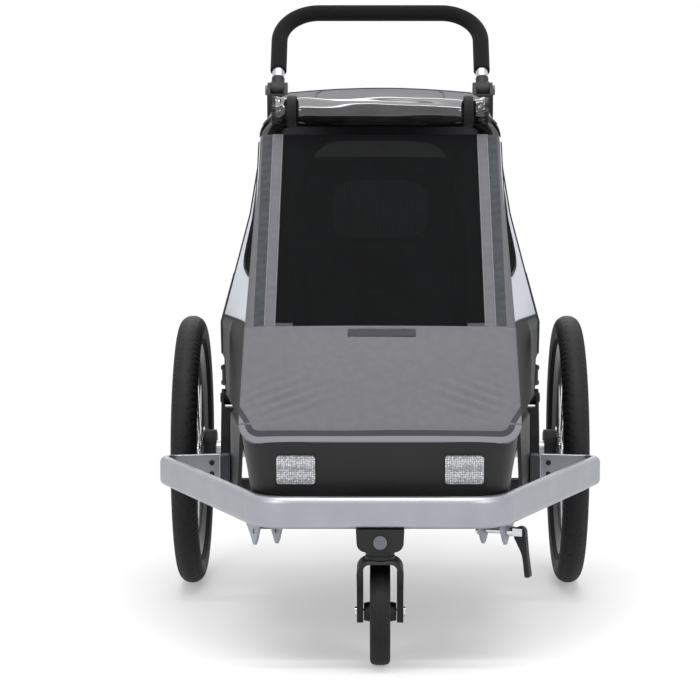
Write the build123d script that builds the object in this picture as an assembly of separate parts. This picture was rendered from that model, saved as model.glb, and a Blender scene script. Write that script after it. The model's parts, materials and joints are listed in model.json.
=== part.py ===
from build123d import *
import math
import os

# A child bicycle trailer in stroller mode, in millimetres.
# X runs across it, Y from its nose (-Y) to its tail (+Y), Z up from the floor.
# Lengths along the trailer are given as a reach forward of the main axle.

# ---- driving dimensions -------------------------------------------------------------

AXLE_Z = 250.0                  # main axle height, half the wheel's diameter
AXLE_TUBE_D = 32.0
AXLE_TUBE_WALL = 3.0
AXLE_TUBE_HALF = 310.0
FIT = 0.05                      # radial clearance of a shaft that turns in its hole
GAP = 0.3                       # clearance between soft or separate neighbours

WHEEL_X = 350.5                 # middle of a main tyre
TYRE_W = 47.0
RIM_R = 206.0                   # bead seat
RIM_DEPTH = 18.0
RIM_W = 28.0
SPOKES = 20
SPOKE_D = 2.4
SPOKE_SWING = 40.0              # degrees between a spoke's hub end and its rim end
HUB_HALF = 20.0
HUB_D = 28.0
FLANGE_R = 26.0
FLANGE_W = 3.5
FLANGE_X = 13.0                 # middle of each spoke flange, from the wheel's middle
BRAKE_RING_W = 3.0
STUB_D = 12.0
STUB_SHORT = 9.0                # how far the stub axle stops inside the hub's face
HUB_BUTTON_D = 16.0
HUB_BUTTON_OUT = 5.0
BRAKE_NOTCHES = 12
BRAKE_RING_R = 42.0

CASTER_FORWARD = 799.0          # swivel axis
CASTER_TRAIL = 54.0
CASTER_R = 84.0
CASTER_W = 32.0
CASTER_RIM_R = 58.0
FORK_W = 73.0
FORK_LEG = 10.0
FORK_CROWN_Z = 178.0
FORK_STEM_D = 14.0
NECK_D = 46.0
CASTER_BRACKET_W = 75.0
CASTER_BRACKET_Z = 191.0
CASTER_BUTTON_D = 21.0
CASTER_BUTTON_Z = 206.0
CASTER_AXLE_D = 10.0

BUMPER_FORWARD = 822.0
BUMPER_Z = 226.0                # underside
BUMPER_H = 50.0
BUMPER_DEPTH = 16.0
BUMPER_WALL = 2.5
BUMPER_NOSE_HALF = 190.0        # where the straight nose would meet the side runs
BUMPER_CORNER = (396.0, 290.0)  # outer corner before rounding: across, forward
BUMPER_END = (285.0, 270.0)
BUMPER_BENDS = (75.0, 32.0)

RAIL = 26.0                     # square tube of the chassis frame
RAIL_WALL = 2.0
RAIL_X = 115.0
RAIL_Z = 203.0                  # underside
CROSS_FORWARD = (653.0, 262.0, -77.0)
CROSS_HALF = (205.0, 250.0, 200.0)
NOSE_W = 60.0

TUB_WALL = 4.0
TUB_FRONT = 785.0
TUB_REAR = -120.0
TUB_FLOOR_Z = 230.0
TUB_RIM_Z = 358.0
TUB_REAR_RIM_Z = 345.0
DECK_Z = 274.0                  # underside of the raised deck over the axle
DECK_FORWARD = (300.0, 262.0)   # foot and head of the riser
TUB_HALF_FRONT = 216.0
TUB_HALF_REAR = 254.0
SKIRT_Z = 217.0
SKIRT_X = 264.0                 # the skirts' widest half width
TUB_CORNER = 62.0
TUB_DRAFT = 20.0                # how far the tub draws in from its rim to its floor

HOOP_PIVOT = (740.0, 385.0)     # forward, up
HOOP_TIP = (200.0, 860.0)
HOOP_HALF = 200.0
HOOP_D = 20.0
HOOP_WALL = 1.5
HOOP_BEND = 50.0
HOOP_PIN_D = 8.0
FOOT_LUG = 7.0
HOOP_EYE_D = 20.0
HOOP_EYE_HALF = 10.4            # half width of the eye welded to each leg

FOLD_PIVOT = (-20.0, 345.0)
FRAME_TOP = (-225.0, 905.0)
FRAME_D = 25.0
FRAME_WALL = 2.0
FRAME_X = (279.0, 285.0, 234.0, 200.0)      # half widths at the stations below
FRAME_REACH = (0.0, 144.0, 360.0)           # stations along the leg, the last is the top
FRAME_BENDS = (140.0, 400.0, 60.0)
FOLD_PIN_D = 10.0
FOLD_EYE_D = 28.0
FOLD_EYE_HALF = 13.2            # half width of the eye welded to each leg
FOLD_CHEEK = 5.0
FOLD_BASE_D = 46.0

SLEEVE_LENGTH = 34.0
SLEEVE_D = 35.0
SLEEVE_START = 27.0
SLEEVE_TRAVEL = 15.0

HANDLE_PIVOT = (-242.0, 926.0)
HANDLE_TILT = 42.0
HANDLE_LENGTH = 212.0
HANDLE_HALF = 200.0
HANDLE_BEND = 78.0
HANDLE_TUBE_D = 24.0
HANDLE_TUBE_WALL = 2.0
GRIP_D = 32.0
GRIP_START = 52.0
KNUCKLE_D = 34.0
KNUCKLE_W = 26.0
MOUNT_CHEEK = 6.0
HANDLE_PIN_D = 8.0
HANDLE_BUTTON_D = 20.0
HANDLE_BUTTON_OUT = 5.0

REFLECTOR = (60.0, 45.0, 5.0)   # across, up, thick
REFLECTOR_X = 131.0
REFLECTOR_Z = 314.0

HITCH_X = 182.0
HITCH_FORWARD = 692.0
HITCH_YAW = 22.0
HITCH_GAP = 33.0
HITCH_PLATE = 4.0
HITCH_LENGTH = 46.0
HITCH_TIP_Z = 183.0
HITCH_BORE_D = 10.0
HITCH_BORE_Z = 205.0
HITCH_BARREL = 14.0
LEVER_LENGTH = 72.0
LEVER_HEAD_R = 9.0
LEVER_THICK = 12.0
LEVER_PIN_D = 5.0

HOUSING_X = 307.0               # inner face of the brake housing
HOUSING_W = 46.0
HOUSING_TOP = 45.0              # rounded top above the axle
BRAKE_PIN_D = 8.0
BRAKE_PIN_OFFSET = (-32.0, 0.0) # forward, up from the axle
BRAKE_BAR_D = 12.0
BRAKE_BAR = (-60.0, 256.0)
PEDAL = (90.0, 165.0, 8.0)       # across, long, thick

SEAT_HALF = 195.0
SEAT_TOP_Z = 335.0
SEAT_FORWARD = (235.0, -16.0)
BACK_HALF = 178.0
BACK_LENGTH = 480.0
BACK_THICK = 34.0
APRON_HALF = 217.0
APRON_REACH = (-52.0, 190.0)    # along the hoop plane
APRON_THICK = 7.0
WINDOW_HALF = 208.0
WINDOW_REACH = (191.0, 668.0)
FABRIC = 3.0
ROLL_D = 58.0
ROLL_HALF = 190.0
ROLL_REACH = 700.0
STRAP_X = 155.0
STRAP_W = 16.0
ROOF_HALF = 196.0
BAG = (180.0, 100.0, 200.0)     # half width, depth, height
BAG_Z = 268.0
FLAG_BORE_D = 10.0
FLAG_OUT = 14.0                 # from the tub's rear wall to the foot of the socket's axis
FLAG_PLACE = (208.0, 276.0, 340.0)
FLAG_WALL = 4.0

# ---- sizes that follow --------------------------------------------------------------

WHEEL_R = AXLE_Z
AXLE_R = AXLE_TUBE_D / 2
FRONT_REACH = CASTER_FORWARD - CASTER_TRAIL + CASTER_R
TILT = math.radians(HANDLE_TILT)
REAR_REACH = -HANDLE_PIVOT[0] + HANDLE_LENGTH * math.sin(TILT) + GRIP_D / 2
AXLE_Y = (FRONT_REACH - REAR_REACH) / 2
RAIL_TOP = RAIL_Z + RAIL

HOOP_RISE = (HOOP_TIP[0] - HOOP_PIVOT[0], HOOP_TIP[1] - HOOP_PIVOT[1])
HOOP_LENGTH = math.hypot(*HOOP_RISE)
FRAME_RISE = (FRAME_TOP[0] - FOLD_PIVOT[0], FRAME_TOP[1] - FOLD_PIVOT[1])
FRAME_LENGTH = math.hypot(*FRAME_RISE)


# ---- places and planes --------------------------------------------------------------

def at(across, forward, up):
    """A point given by its distance across, forward of the axle and up."""
    return Vector(across, AXLE_Y - forward, up)


def side_plane(across=0.0):
    """Looks at the trailer's side: local x forward, local y up."""
    return Plane(origin=at(across, 0, 0), x_dir=(0, -1, 0), z_dir=(-1, 0, 0))


def front_plane(forward):
    """Looks at the trailer's front: local x across, local y up, out towards the nose."""
    return Plane(origin=at(0, forward, 0), x_dir=(1, 0, 0), z_dir=(0, -1, 0))


def plan_plane(up):
    """Looks down on the trailer: local x across, local y forward."""
    return Plane(origin=at(0, 0, up), x_dir=(1, 0, 0), z_dir=(0, 0, -1))


def leaning_plane(pivot, rise):
    """Local y runs from a pivot along a leaning frame, local z out of its front side."""
    length = math.hypot(*rise)
    return Plane(
        origin=at(0, *pivot),
        x_dir=(1, 0, 0),
        z_dir=(0, -rise[1] / length, -rise[0] / length),
    )


HOOP = leaning_plane(HOOP_PIVOT, HOOP_RISE)
FRAME = leaning_plane(FOLD_PIVOT, FRAME_RISE)
HANDLE = leaning_plane(HANDLE_PIVOT, (-math.sin(TILT), math.cos(TILT)))


# ---- shapes used more than once -----------------------------------------------------

def block(across, forward, up):
    """A box between two values on each axis."""
    size = [max(pair) - min(pair) for pair in (across, forward, up)]
    middle = [sum(pair) / 2 for pair in (across, forward, up)]
    return Pos(at(*middle)) * Box(*size)


def cross_rod(diameter, across, forward, up):
    """A cylinder that runs across the trailer between two values of X."""
    start, stop = across
    middle = at((start + stop) / 2, forward, up)
    return Pos(middle) * Rot(0, 90, 0) * Cylinder(diameter / 2, abs(stop - start))


def upright(diameter, across, forward, up):
    """A vertical cylinder between two heights."""
    low, high = up
    return Pos(at(across, forward, (low + high) / 2)) * Cylinder(diameter / 2, high - low)


def rod_between(start, stop, diameter):
    """A straight round rod from one point to another."""
    run = stop - start
    return extrude(Plane(origin=start, z_dir=run) * Circle(diameter / 2), amount=run.length)


def outline(points, radii=0.0):
    """A closed face with its corners rounded."""
    return make_face(FilletPolyline(*points, radius=radii, close=True))


def slab(plane, face, start, stop):
    """A face on a plane, thickened between two offsets along the plane's normal."""
    return extrude(plane.offset(start) * face, amount=stop - start)


def bent_tube(plane, points, radii, diameter, wall=0.0):
    """A round tube along straight runs joined by bends, in one plane."""
    path = plane * FilletPolyline(*points, radius=radii)
    section = Plane(origin=path @ 0, z_dir=path % 0)
    tube = sweep(section * Circle(diameter / 2), path=path)
    if wall:
        tube -= sweep(section * Circle(diameter / 2 - wall), path=path)
    return tube


def mirrored(shape):
    """The same shape on the other side of the trailer."""
    return mirror(shape, about=Plane.YZ)


def pair(shape):
    """A shape and its mirror image, as two solids."""
    return Compound(children=[*shape.solids(), *mirrored(shape).solids()])


def group(shapes):
    """Separate solids kept together."""
    return Compound(children=[solid for shape in shapes for solid in shape.solids()])


# ---- chassis ------------------------------------------------------------------------

def square_tube(across, forward, up, axis):
    """A hollow square tube, open at both ends along one axis."""
    outer = block(across, forward, up)
    spans = [across, forward, up]
    inner = []
    for index, span in enumerate(spans):
        grow = 1.0 if index == axis else -RAIL_WALL
        inner.append((min(span) - grow, max(span) + grow))
    return outer - block(*inner)


def chassis_rails():
    """Two rails, three cross members and the nose beam, welded together."""
    half = RAIL / 2
    height = (RAIL_Z, RAIL_TOP)
    front, rear = CROSS_FORWARD[0], CROSS_FORWARD[-1]
    frame = None
    for forward, reach in zip(CROSS_FORWARD, CROSS_HALF):
        member = square_tube((-reach, reach), (forward - half, forward + half), height, 0)
        frame = member if frame is None else frame + member
    for side in (-1, 1):
        middle = side * RAIL_X
        for high, low in ((front, CROSS_FORWARD[1]), (CROSS_FORWARD[1], rear)):
            span = (low + half, high - half)
            frame += square_tube((middle - half, middle + half), span, height, 1)
    span = (front + half, CASTER_FORWARD - NECK_D / 2 - 6)
    frame += square_tube((-NOSE_W / 2, NOSE_W / 2), span, height, 1)
    return frame


def axle_tube():
    """The tube that carries both wheels."""
    reach = (-AXLE_TUBE_HALF, AXLE_TUBE_HALF)
    tube = cross_rod(AXLE_TUBE_D, reach, 0, AXLE_Z)
    return tube - cross_rod(AXLE_TUBE_D - 2 * AXLE_TUBE_WALL, reach, 0, AXLE_Z)


def axle_saddles():
    """Clamps that hold the axle tube on the rails, and the brake bar's bearings."""
    half = RAIL / 2 + 4
    profile = outline(
        [
            (-32, RAIL_TOP),
            (32, RAIL_TOP),
            (AXLE_R + 6, DECK_Z - 1.0),
            (-AXLE_R - 6, DECK_Z - 1.0),
        ],
        [3, 3, 10, 10],
    )
    saddle = extrude(side_plane(RAIL_X) * profile, amount=half, both=True)
    saddle -= cross_rod(AXLE_TUBE_D, (RAIL_X - half - 1, RAIL_X + half + 1), 0, AXLE_Z)
    return group([pair(saddle), brake_bearings()])


def tub_outline(inset):
    """The tub's plan at its rim, drawn in by a wall."""
    front = TUB_FRONT - inset
    rear = TUB_REAR + inset
    nose = TUB_HALF_FRONT - inset
    tail = TUB_HALF_REAR - inset
    corner = TUB_CORNER - inset
    return outline(
        [
            (-nose, front), (nose, front), (nose + 3, 600), (tail, 250),
            (tail, rear), (-tail, rear), (-tail, 250), (-nose - 3, 600),
        ],
        [corner, corner, 0, 0, corner, corner, 0, 0],
    )


def tub_solid(inset, low, high):
    """The drafted plan crossed with the tub's side profile."""
    lift = DECK_Z - TUB_FLOOR_Z
    drop = TUB_RIM_Z - TUB_REAR_RIM_Z
    foot, head = DECK_FORWARD
    reach = 100.0
    side = outline(
        [
            (TUB_FRONT + reach, high), (TUB_FRONT + reach, low), (foot + inset, low), (head + inset, low + lift),
            (TUB_REAR - reach, low + lift), (TUB_REAR - reach, high - drop), (250, high - drop), (560, high),
        ],
        [0, 0, 12, 12, 0, 0, 60, 60],
    )
    depth = TUB_RIM_Z - TUB_FLOOR_Z
    draft = math.degrees(math.atan(TUB_DRAFT / depth))
    face = plan_plane(TUB_RIM_Z) * tub_outline(inset)
    body = extrude(face, amount=depth, taper=draft) + extrude(face, amount=-reach)
    return body & extrude(side_plane() * side, amount=2 * TUB_HALF_REAR, both=True)


def floor_tub():
    """The moulded tub: a footwell at the front and a raised deck over the axle."""
    tub = tub_solid(0.0, TUB_FLOOR_Z, TUB_RIM_Z)
    return tub - tub_solid(TUB_WALL, TUB_FLOOR_Z + TUB_WALL, TUB_RIM_Z + TUB_WALL)


def skirt():
    """One flank that covers the side of the tub from the foot well to the axle."""
    inner = TUB_HALF_REAR + GAP
    plan = outline(
        [
            (TUB_HALF_FRONT + 6, 590), (TUB_HALF_FRONT + 12, 590), (SKIRT_X, 270), (SKIRT_X, 40),
            (inner + 2, 40), (inner + 2, 262),
        ],
        [0, 0, 160, 0, 0, 140],
    )
    side = outline(
        [
            (470, SKIRT_Z), (500, 250), (540, 300), (575, 352), (250, TUB_REAR_RIM_Z),
            (44, TUB_REAR_RIM_Z), (44, SKIRT_Z),
        ],
        [20, 60, 60, 6, 60, 10, 20],
    )
    flank = extrude(plan_plane(0) * plan, amount=-500)
    return flank & extrude(side_plane() * side, amount=-400)


def fold_bracket():
    """A clamp on the axle tube with two ears that hold the rear frame's pivot."""
    forward, up = FOLD_PIVOT
    eye = FOLD_EYE_HALF + GAP
    middle = FRAME_X[0]
    ear = outline(
        [
            (-FOLD_BASE_D / 2, AXLE_Z - 24), (FOLD_BASE_D / 2, AXLE_Z - 24),
            (FOLD_BASE_D / 2, AXLE_Z + 26), (forward + 16, up + 16), (forward - 16, up + 16),
            (-FOLD_BASE_D / 2 - 10, AXLE_Z + 26),
        ],
        [12, 12, 8, 12, 12, 8],
    )
    whole = slab(side_plane(middle), ear, -eye - FOLD_CHEEK, eye + FOLD_CHEEK)
    slot = block((middle - eye, middle + eye), (-80, 60), (up - FOLD_EYE_D / 2 - 4, up + 60))
    whole -= slot
    whole -= cross_rod(AXLE_TUBE_D, (middle - 30, middle + 30), 0, AXLE_Z)
    return whole - cross_rod(FOLD_PIN_D, (middle - 30, middle + 30), forward, up)


def fold_pins():
    """The pins that the rear frame folds about."""
    reach = FOLD_EYE_HALF + GAP + FOLD_CHEEK
    middle = FRAME_X[0]
    pin = cross_rod(FOLD_PIN_D, (middle - reach, middle + reach), *FOLD_PIVOT)
    head = cross_rod(FOLD_PIN_D + 8, (middle + reach, middle + reach + 3), *FOLD_PIVOT)
    return pair(pin + head)


def hoop_foot():
    """A post on the tub's inner wall with a lug beside the hoop's lower eye."""
    forward, up = HOOP_PIVOT
    inner = HOOP_HALF - HOOP_EYE_HALF - GAP
    low = TUB_FLOOR_Z + 70
    nub = HOOP_EYE_D / 2 - 0.5
    lug = outline(
        [(forward - 24, low), (forward + 6, low), (forward + nub, up + nub), (forward - nub, up + nub)],
        [6, 6, nub - 0.1, nub - 0.1],
    )
    post = slab(side_plane(inner), lug, 0, FOOT_LUG)
    shelf_top = up - HOOP_EYE_D / 2 - 18
    shelf = block((inner - FOOT_LUG, TUB_HALF_FRONT), (forward - 22, forward + 4), (low + 4, shelf_top))
    post += shelf & tub_solid(TUB_WALL + 0.1, TUB_FLOOR_Z, TUB_RIM_Z)
    return post - cross_rod(HOOP_PIN_D, (inner - 10, inner + 1), forward, up)


def hoop_pins():
    """The pins that the front hoop turns on."""
    inner = HOOP_HALF - HOOP_EYE_HALF - GAP - FOOT_LUG
    pin = cross_rod(HOOP_PIN_D, (inner, HOOP_HALF + HOOP_EYE_HALF), *HOOP_PIVOT)
    head = cross_rod(HOOP_PIN_D + 6, (inner - 3, inner), *HOOP_PIVOT)
    return pair(pin + head)


def flag_axis(up):
    """The flag pole's axis at a height: it leans back as the rear frame does."""
    across, low, high = FLAG_PLACE
    return (TUB_REAR - FLAG_OUT + (up - low) * FRAME_RISE[0] / FRAME_RISE[1], up)


def flag_socket():
    """A moulded socket for a flag pole on the tub's rear wall."""
    across, low, high = FLAG_PLACE
    foot, head = low + FLAG_WALL, high - FLAG_WALL
    wall = TUB_REAR + TUB_DRAFT
    side = outline([(wall, foot), flag_axis(foot), flag_axis(head), (wall, head)])
    web = slab(side_plane(across), side, -7, 7) - tub_solid(0.0, TUB_FLOOR_Z, TUB_RIM_Z)
    socket = web + rod_between(at(across, *flag_axis(low)), at(across, *flag_axis(high)), FLAG_BORE_D + 2 * FLAG_WALL)
    return socket - rod_between(at(across, *flag_axis(foot)), at(across, *flag_axis(high + 1)), FLAG_BORE_D)


def bumper_profile(inset):
    """Half-round outside and flat inside, with the outer face on local x = 0."""
    depth = BUMPER_DEPTH - inset
    half = BUMPER_H / 2 - inset
    outer = BUMPER_DEPTH - 6 - inset
    return outline([(inset, -half), (inset, half), (depth, half), (depth, -half)], [outer, outer, 2, 2])


def bumper():
    """The level bar round the nose, bent back past both wheels and in behind them."""
    nose = (BUMPER_NOSE_HALF, BUMPER_FORWARD)
    points = [BUMPER_END, BUMPER_CORNER, nose, (-nose[0], nose[1])]
    points += [(-BUMPER_CORNER[0], BUMPER_CORNER[1]), (-BUMPER_END[0], BUMPER_END[1])]
    bend, tight = BUMPER_BENDS
    height = BUMPER_Z + BUMPER_H / 2
    path = plan_plane(height) * FilletPolyline(*points, radius=[tight, bend, bend, tight])
    start = path @ 0
    heading = path % 0
    section = Plane(origin=start, x_dir=heading.cross(Vector(0, 0, 1)), z_dir=heading)
    bar = sweep(section * bumper_profile(0.0), path=path)
    return bar - sweep(section * bumper_profile(BUMPER_WALL), path=path)


def bumper_bracket():
    """Joins the bumper's end to the middle cross member, round the skirt."""
    inner = CROSS_HALF[1]
    outer = BUMPER_END[0] - 3.2
    forward = CROSS_FORWARD[1]
    half = RAIL / 2
    along = (forward - half, forward + half)
    arm = block((inner, outer), along, (RAIL_Z, SKIRT_Z - GAP))
    seat = (forward - half, BUMPER_END[1] + BUMPER_DEPTH)
    riser = block((SKIRT_X + GAP, outer), seat, (RAIL_Z, BUMPER_Z + BUMPER_H - 3))
    edge = riser.edges().filter_by(Axis.Y).group_by(Axis.Z)[-1]
    return arm + fillet(edge, 4)


def bumper_screws():
    """Two screw heads one above the other at each end of the bumper."""
    run = Vector(BUMPER_CORNER[0] - BUMPER_END[0], BUMPER_CORNER[1] - BUMPER_END[1], 0).normalized()
    across = BUMPER_END[0] + run.X * 14
    forward = BUMPER_END[1] + run.Y * 14
    normal = Vector(-run.Y, -run.X, 0)
    heads = []
    for up in (BUMPER_Z + 15, BUMPER_Z + 35):
        centre = at(across, forward, up) + normal * BUMPER_DEPTH
        heads.append(rod_between(centre, centre + normal * 2.2, 9.0))
    return pair(group(heads))


def front_reflectors():
    """Two rounded plates on the tub's raked front."""
    width, height, thick = REFLECTOR
    rake = TUB_DRAFT / (TUB_RIM_Z - TUB_FLOOR_Z)
    slant = math.hypot(1, rake)
    forward = TUB_FRONT - (TUB_RIM_Z - REFLECTOR_Z) * rake
    plane = Plane(origin=at(0, forward, REFLECTOR_Z), x_dir=(1, 0, 0), z_dir=(0, -1 / slant, -rake / slant))
    plate = Pos(REFLECTOR_X, 0) * RectangleRounded(width, height, 5)
    return pair(slab(plane, plate, 0, thick))


# ---- hitch receivers ----------------------------------------------------------------

def hitch_plane(side):
    """Local x across the receiver's plates, outboard; local y towards the tail."""
    yaw = -side * math.radians(HITCH_YAW)
    origin = at(side * HITCH_X, HITCH_FORWARD, 0)
    return Plane(origin=origin, x_dir=(math.cos(yaw), math.sin(yaw), 0), z_dir=(0, 0, 1))


def upright_plane(plane, across=0.0):
    """Looks along a hitch plane's local x: local x forward, local y up."""
    origin = plane.from_local_coords((across, 0, 0))
    return Plane(origin=origin, x_dir=-plane.y_dir, z_dir=-plane.x_dir)


def hitch_plates(side):
    """Two hooked plates under a top web, cut off flush at the front cross member."""
    plane = hitch_plane(side)
    half = HITCH_LENGTH / 2
    top = TUB_FLOOR_Z - GAP
    reach = HITCH_GAP / 2 + HITCH_PLATE
    profile = outline(
        [
            (-half - 20, top), (half, top), (half, HITCH_BORE_Z + 6), (half - 12, HITCH_TIP_Z + 8),
            (half - 20, HITCH_TIP_Z), (-4, HITCH_TIP_Z), (-half + 4, HITCH_BORE_Z - 6), (-half - 20, top - 14),
        ],
        [2, 5, 6, 3, 3, 5, 6, 2],
    )
    shape = slab(upright_plane(plane), profile, -reach, reach)
    hollow = Box(HITCH_GAP, 200, 200, align=(Align.CENTER, Align.CENTER, Align.MAX))
    shape -= plane * (Pos(0, 0, top - HITCH_PLATE) * hollow)
    bore = Rot(0, 90, 0) * Cylinder(HITCH_BORE_D / 2, 2 * reach + 20)
    shape -= plane * (Pos(0, 0, HITCH_BORE_Z) * bore)
    limit = CROSS_FORWARD[0] + RAIL / 2
    return shape - block((-400, 400), (limit - 100, limit), (0, 400))


def along_skewer(diameter, start, stop):
    """A cylinder on the left receiver's bore axis, between two distances outboard."""
    middle = Pos((start + stop) / 2, 0, HITCH_BORE_Z)
    return hitch_plane(1) * (middle * Rot(0, 90, 0) * Cylinder(diameter / 2, stop - start))


def hitch_skewer():
    """The rod through the left receiver, with a nut inside and the lever's fork outside."""
    outer = HITCH_GAP / 2 + HITCH_PLATE
    barrel_end = outer + HITCH_BARREL
    rod = along_skewer(HITCH_BORE_D - 2 * FIT, -outer - 10, barrel_end)
    nut_face = upright_plane(hitch_plane(1), -outer - GAP) * (Pos(0, HITCH_BORE_Z) * RegularPolygon(9, 6))
    nut = extrude(nut_face, amount=7)
    barrel = along_skewer(16, outer + GAP, barrel_end)
    skewer = rod + nut + barrel
    reach = LEVER_THICK / 2 + GAP
    for side in (-1, 1):
        ear = Box(LEVER_HEAD_R + 7, 3, 12, align=(Align.MIN, Align.CENTER, Align.CENTER))
        skewer += hitch_plane(1) * (Pos(barrel_end - 1, side * (reach + 1.5), HITCH_BORE_Z) * ear)
    pin = Cylinder(LEVER_PIN_D / 2, 2 * reach + 6)
    pivot = Pos(barrel_end + LEVER_HEAD_R + GAP, 0, HITCH_BORE_Z)
    return skewer + hitch_plane(1) * (pivot * Rot(90, 0, 0) * pin)


def hitch_lever():
    """A cam lever that hangs at rest, with a hole near its end."""
    pivot = HITCH_GAP / 2 + HITCH_PLATE + HITCH_BARREL + LEVER_HEAD_R + GAP
    face = outline(
        [
            (-LEVER_HEAD_R, LEVER_HEAD_R), (LEVER_HEAD_R, LEVER_HEAD_R), (LEVER_HEAD_R + 4, -LEVER_LENGTH / 2),
            (LEVER_HEAD_R + 9, -LEVER_LENGTH), (LEVER_HEAD_R, -LEVER_LENGTH), (LEVER_HEAD_R - 4, -LEVER_LENGTH / 2),
            (-LEVER_HEAD_R, -LEVER_HEAD_R),
        ],
        [LEVER_HEAD_R - 0.1, LEVER_HEAD_R - 0.1, 60, 3, 3, 60, LEVER_HEAD_R - 0.2],
    )
    plane = hitch_plane(1)
    seen = Plane(origin=plane.from_local_coords((pivot, 0, HITCH_BORE_Z)), x_dir=plane.x_dir, z_dir=-plane.y_dir)
    lever = slab(seen, face, -LEVER_THICK / 2, LEVER_THICK / 2)
    lever -= slab(seen, Circle(LEVER_PIN_D / 2 + FIT), -20, 20)
    hole = Pos(LEVER_HEAD_R + 3, -LEVER_LENGTH + 10) * Circle(2)
    return lever - slab(seen, hole, -20, 20)


# ---- wheels and brake ---------------------------------------------------------------

def revolved(points, radii=0.0):
    """A profile of distance along the axle and radius, turned about the axle."""
    return revolve(Plane.XY * outline(points, radii), axis=Axis.X)


def on_axle(shape, across=WHEEL_X):
    """Puts a shape made about the X axis on the main axle."""
    return Pos(at(across, 0, AXLE_Z)) * shape


def tyre():
    """A tyre with a rounded tread, open towards the rim."""
    crown = WHEEL_R - TYRE_W / 2
    ring = Pos(0, crown) * Circle(TYRE_W / 2)
    ring -= Pos(0, RIM_R - 50 + 0.1) * Rectangle(TYRE_W, 100)
    return on_axle(revolve(Plane.XY * ring, axis=Axis.X))


def rim():
    """A deep rim that narrows towards the spokes."""
    half = RIM_W / 2
    inner = RIM_R - RIM_DEPTH
    return on_axle(
        revolved(
            [(-half, RIM_R), (half, RIM_R), (half, RIM_R - 6), (6, inner), (-6, inner), (-half, RIM_R - 6)],
            [1, 1, 2, 3, 3, 2],
        )
    )


def hub_profile():
    """A barrel with two spoke flanges and the brake ring at its inner end."""
    bore = STUB_D / 2 + FIT
    body = HUB_D / 2
    near, far = FLANGE_X - FLANGE_W / 2, FLANGE_X + FLANGE_W / 2
    ring = BRAKE_RING_W - HUB_HALF
    return [
        (-HUB_HALF, bore), (HUB_HALF, bore), (HUB_HALF, body - 1), (far, body), (far, FLANGE_R), (near, FLANGE_R),
        (near - 3, body - 2), (3 - near, body - 2), (-near, FLANGE_R), (-far, FLANGE_R), (-far, body + 4),
        (ring, body + 4), (ring, BRAKE_RING_R), (-HUB_HALF, BRAKE_RING_R),
    ]


def hub():
    """The hub, whose inner end carries a ring of holes for the brake pin."""
    shape = revolved(hub_profile())
    offset = math.hypot(*BRAKE_PIN_OFFSET)
    for index in range(BRAKE_NOTCHES):
        angle = math.radians(360 * index / BRAKE_NOTCHES)
        place = Pos(-HUB_HALF, offset * math.cos(angle), offset * math.sin(angle))
        shape -= place * Rot(0, 90, 0) * Cylinder(BRAKE_PIN_D / 2 + 1, 2 * BRAKE_RING_W + 0.5)
    return on_axle(shape)


def spokes():
    """Crossed spokes from alternate flanges to the rim."""
    rim_reach = RIM_R - RIM_DEPTH - 0.3
    hub_reach = FLANGE_R + SPOKE_D / 2
    made = []
    for index in range(SPOKES):
        side = 1 if index % 2 else -1
        swing = SPOKE_SWING if (index // 2) % 2 else -SPOKE_SWING
        outer = math.radians(360 * index / SPOKES)
        inner = outer + math.radians(swing)
        start = Vector(side * FLANGE_X, hub_reach * math.cos(inner), hub_reach * math.sin(inner))
        stop = Vector(side * 3.0, rim_reach * math.cos(outer), rim_reach * math.sin(outer))
        made.append(rod_between(start, stop, SPOKE_D))
    return on_axle(group(made))


def stub_axle():
    """The wheel's plug-in axle, held in the end of the axle tube."""
    inner = AXLE_TUBE_HALF - 30
    rod = cross_rod(STUB_D, (inner, WHEEL_X + HUB_HALF - STUB_SHORT), 0, AXLE_Z)
    plug = cross_rod(AXLE_TUBE_D - 2 * AXLE_TUBE_WALL, (inner, AXLE_TUBE_HALF), 0, AXLE_Z)
    return rod + plug


def hub_button():
    """The release button in the middle of the hub's outer face."""
    start = WHEEL_X + HUB_HALF + GAP
    cap = cross_rod(HUB_BUTTON_D, (start + 3, start + 3 + HUB_BUTTON_OUT), 0, AXLE_Z)
    stem = cross_rod(STUB_D, (WHEEL_X + HUB_HALF - STUB_SHORT + 5, start + 3), 0, AXLE_Z)
    return cap + stem


def brake_housing():
    """The bracket beside the wheel, with a rounded top and the brake pin's bore."""
    half = HOUSING_W / 2
    face = outline(
        [(-half - 22, AXLE_Z - 26), (half, AXLE_Z - 26), (half - 2, AXLE_Z + HOUSING_TOP), (-half - 12, AXLE_Z + 26)],
        [10, 12, 22, 12],
    )
    outer = WHEEL_X - HUB_HALF - 1.2
    shape = slab(side_plane(HOUSING_X), face, HOUSING_X - outer, 0)
    span = (HOUSING_X - 1, outer + 1)
    shape -= cross_rod(AXLE_TUBE_D, (HOUSING_X - 1, AXLE_TUBE_HALF), 0, AXLE_Z)
    shape -= cross_rod(STUB_D, span, 0, AXLE_Z)
    forward, up = BRAKE_PIN_OFFSET
    shape -= cross_rod(BRAKE_PIN_D + 2 * FIT, span, forward, AXLE_Z + up)
    return shape


def brake_pin():
    """Slides across into a notch of the hub."""
    forward, up = BRAKE_PIN_OFFSET
    outer = WHEEL_X - HUB_HALF - 2.0
    return cross_rod(BRAKE_PIN_D, (outer - 30, outer), forward, AXLE_Z + up)


def brake_bearings():
    """Blocks under the tub's deck that the brake bar turns in."""
    forward, up = BRAKE_BAR
    bearing = block((RAIL_X - 10, RAIL_X + 10), (forward - 14, forward + 14), (RAIL_TOP, DECK_Z - GAP))
    bearing -= cross_rod(BRAKE_BAR_D + 2 * FIT, (RAIL_X - 20, RAIL_X + 20), forward, up)
    return pair(bearing)


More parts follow.
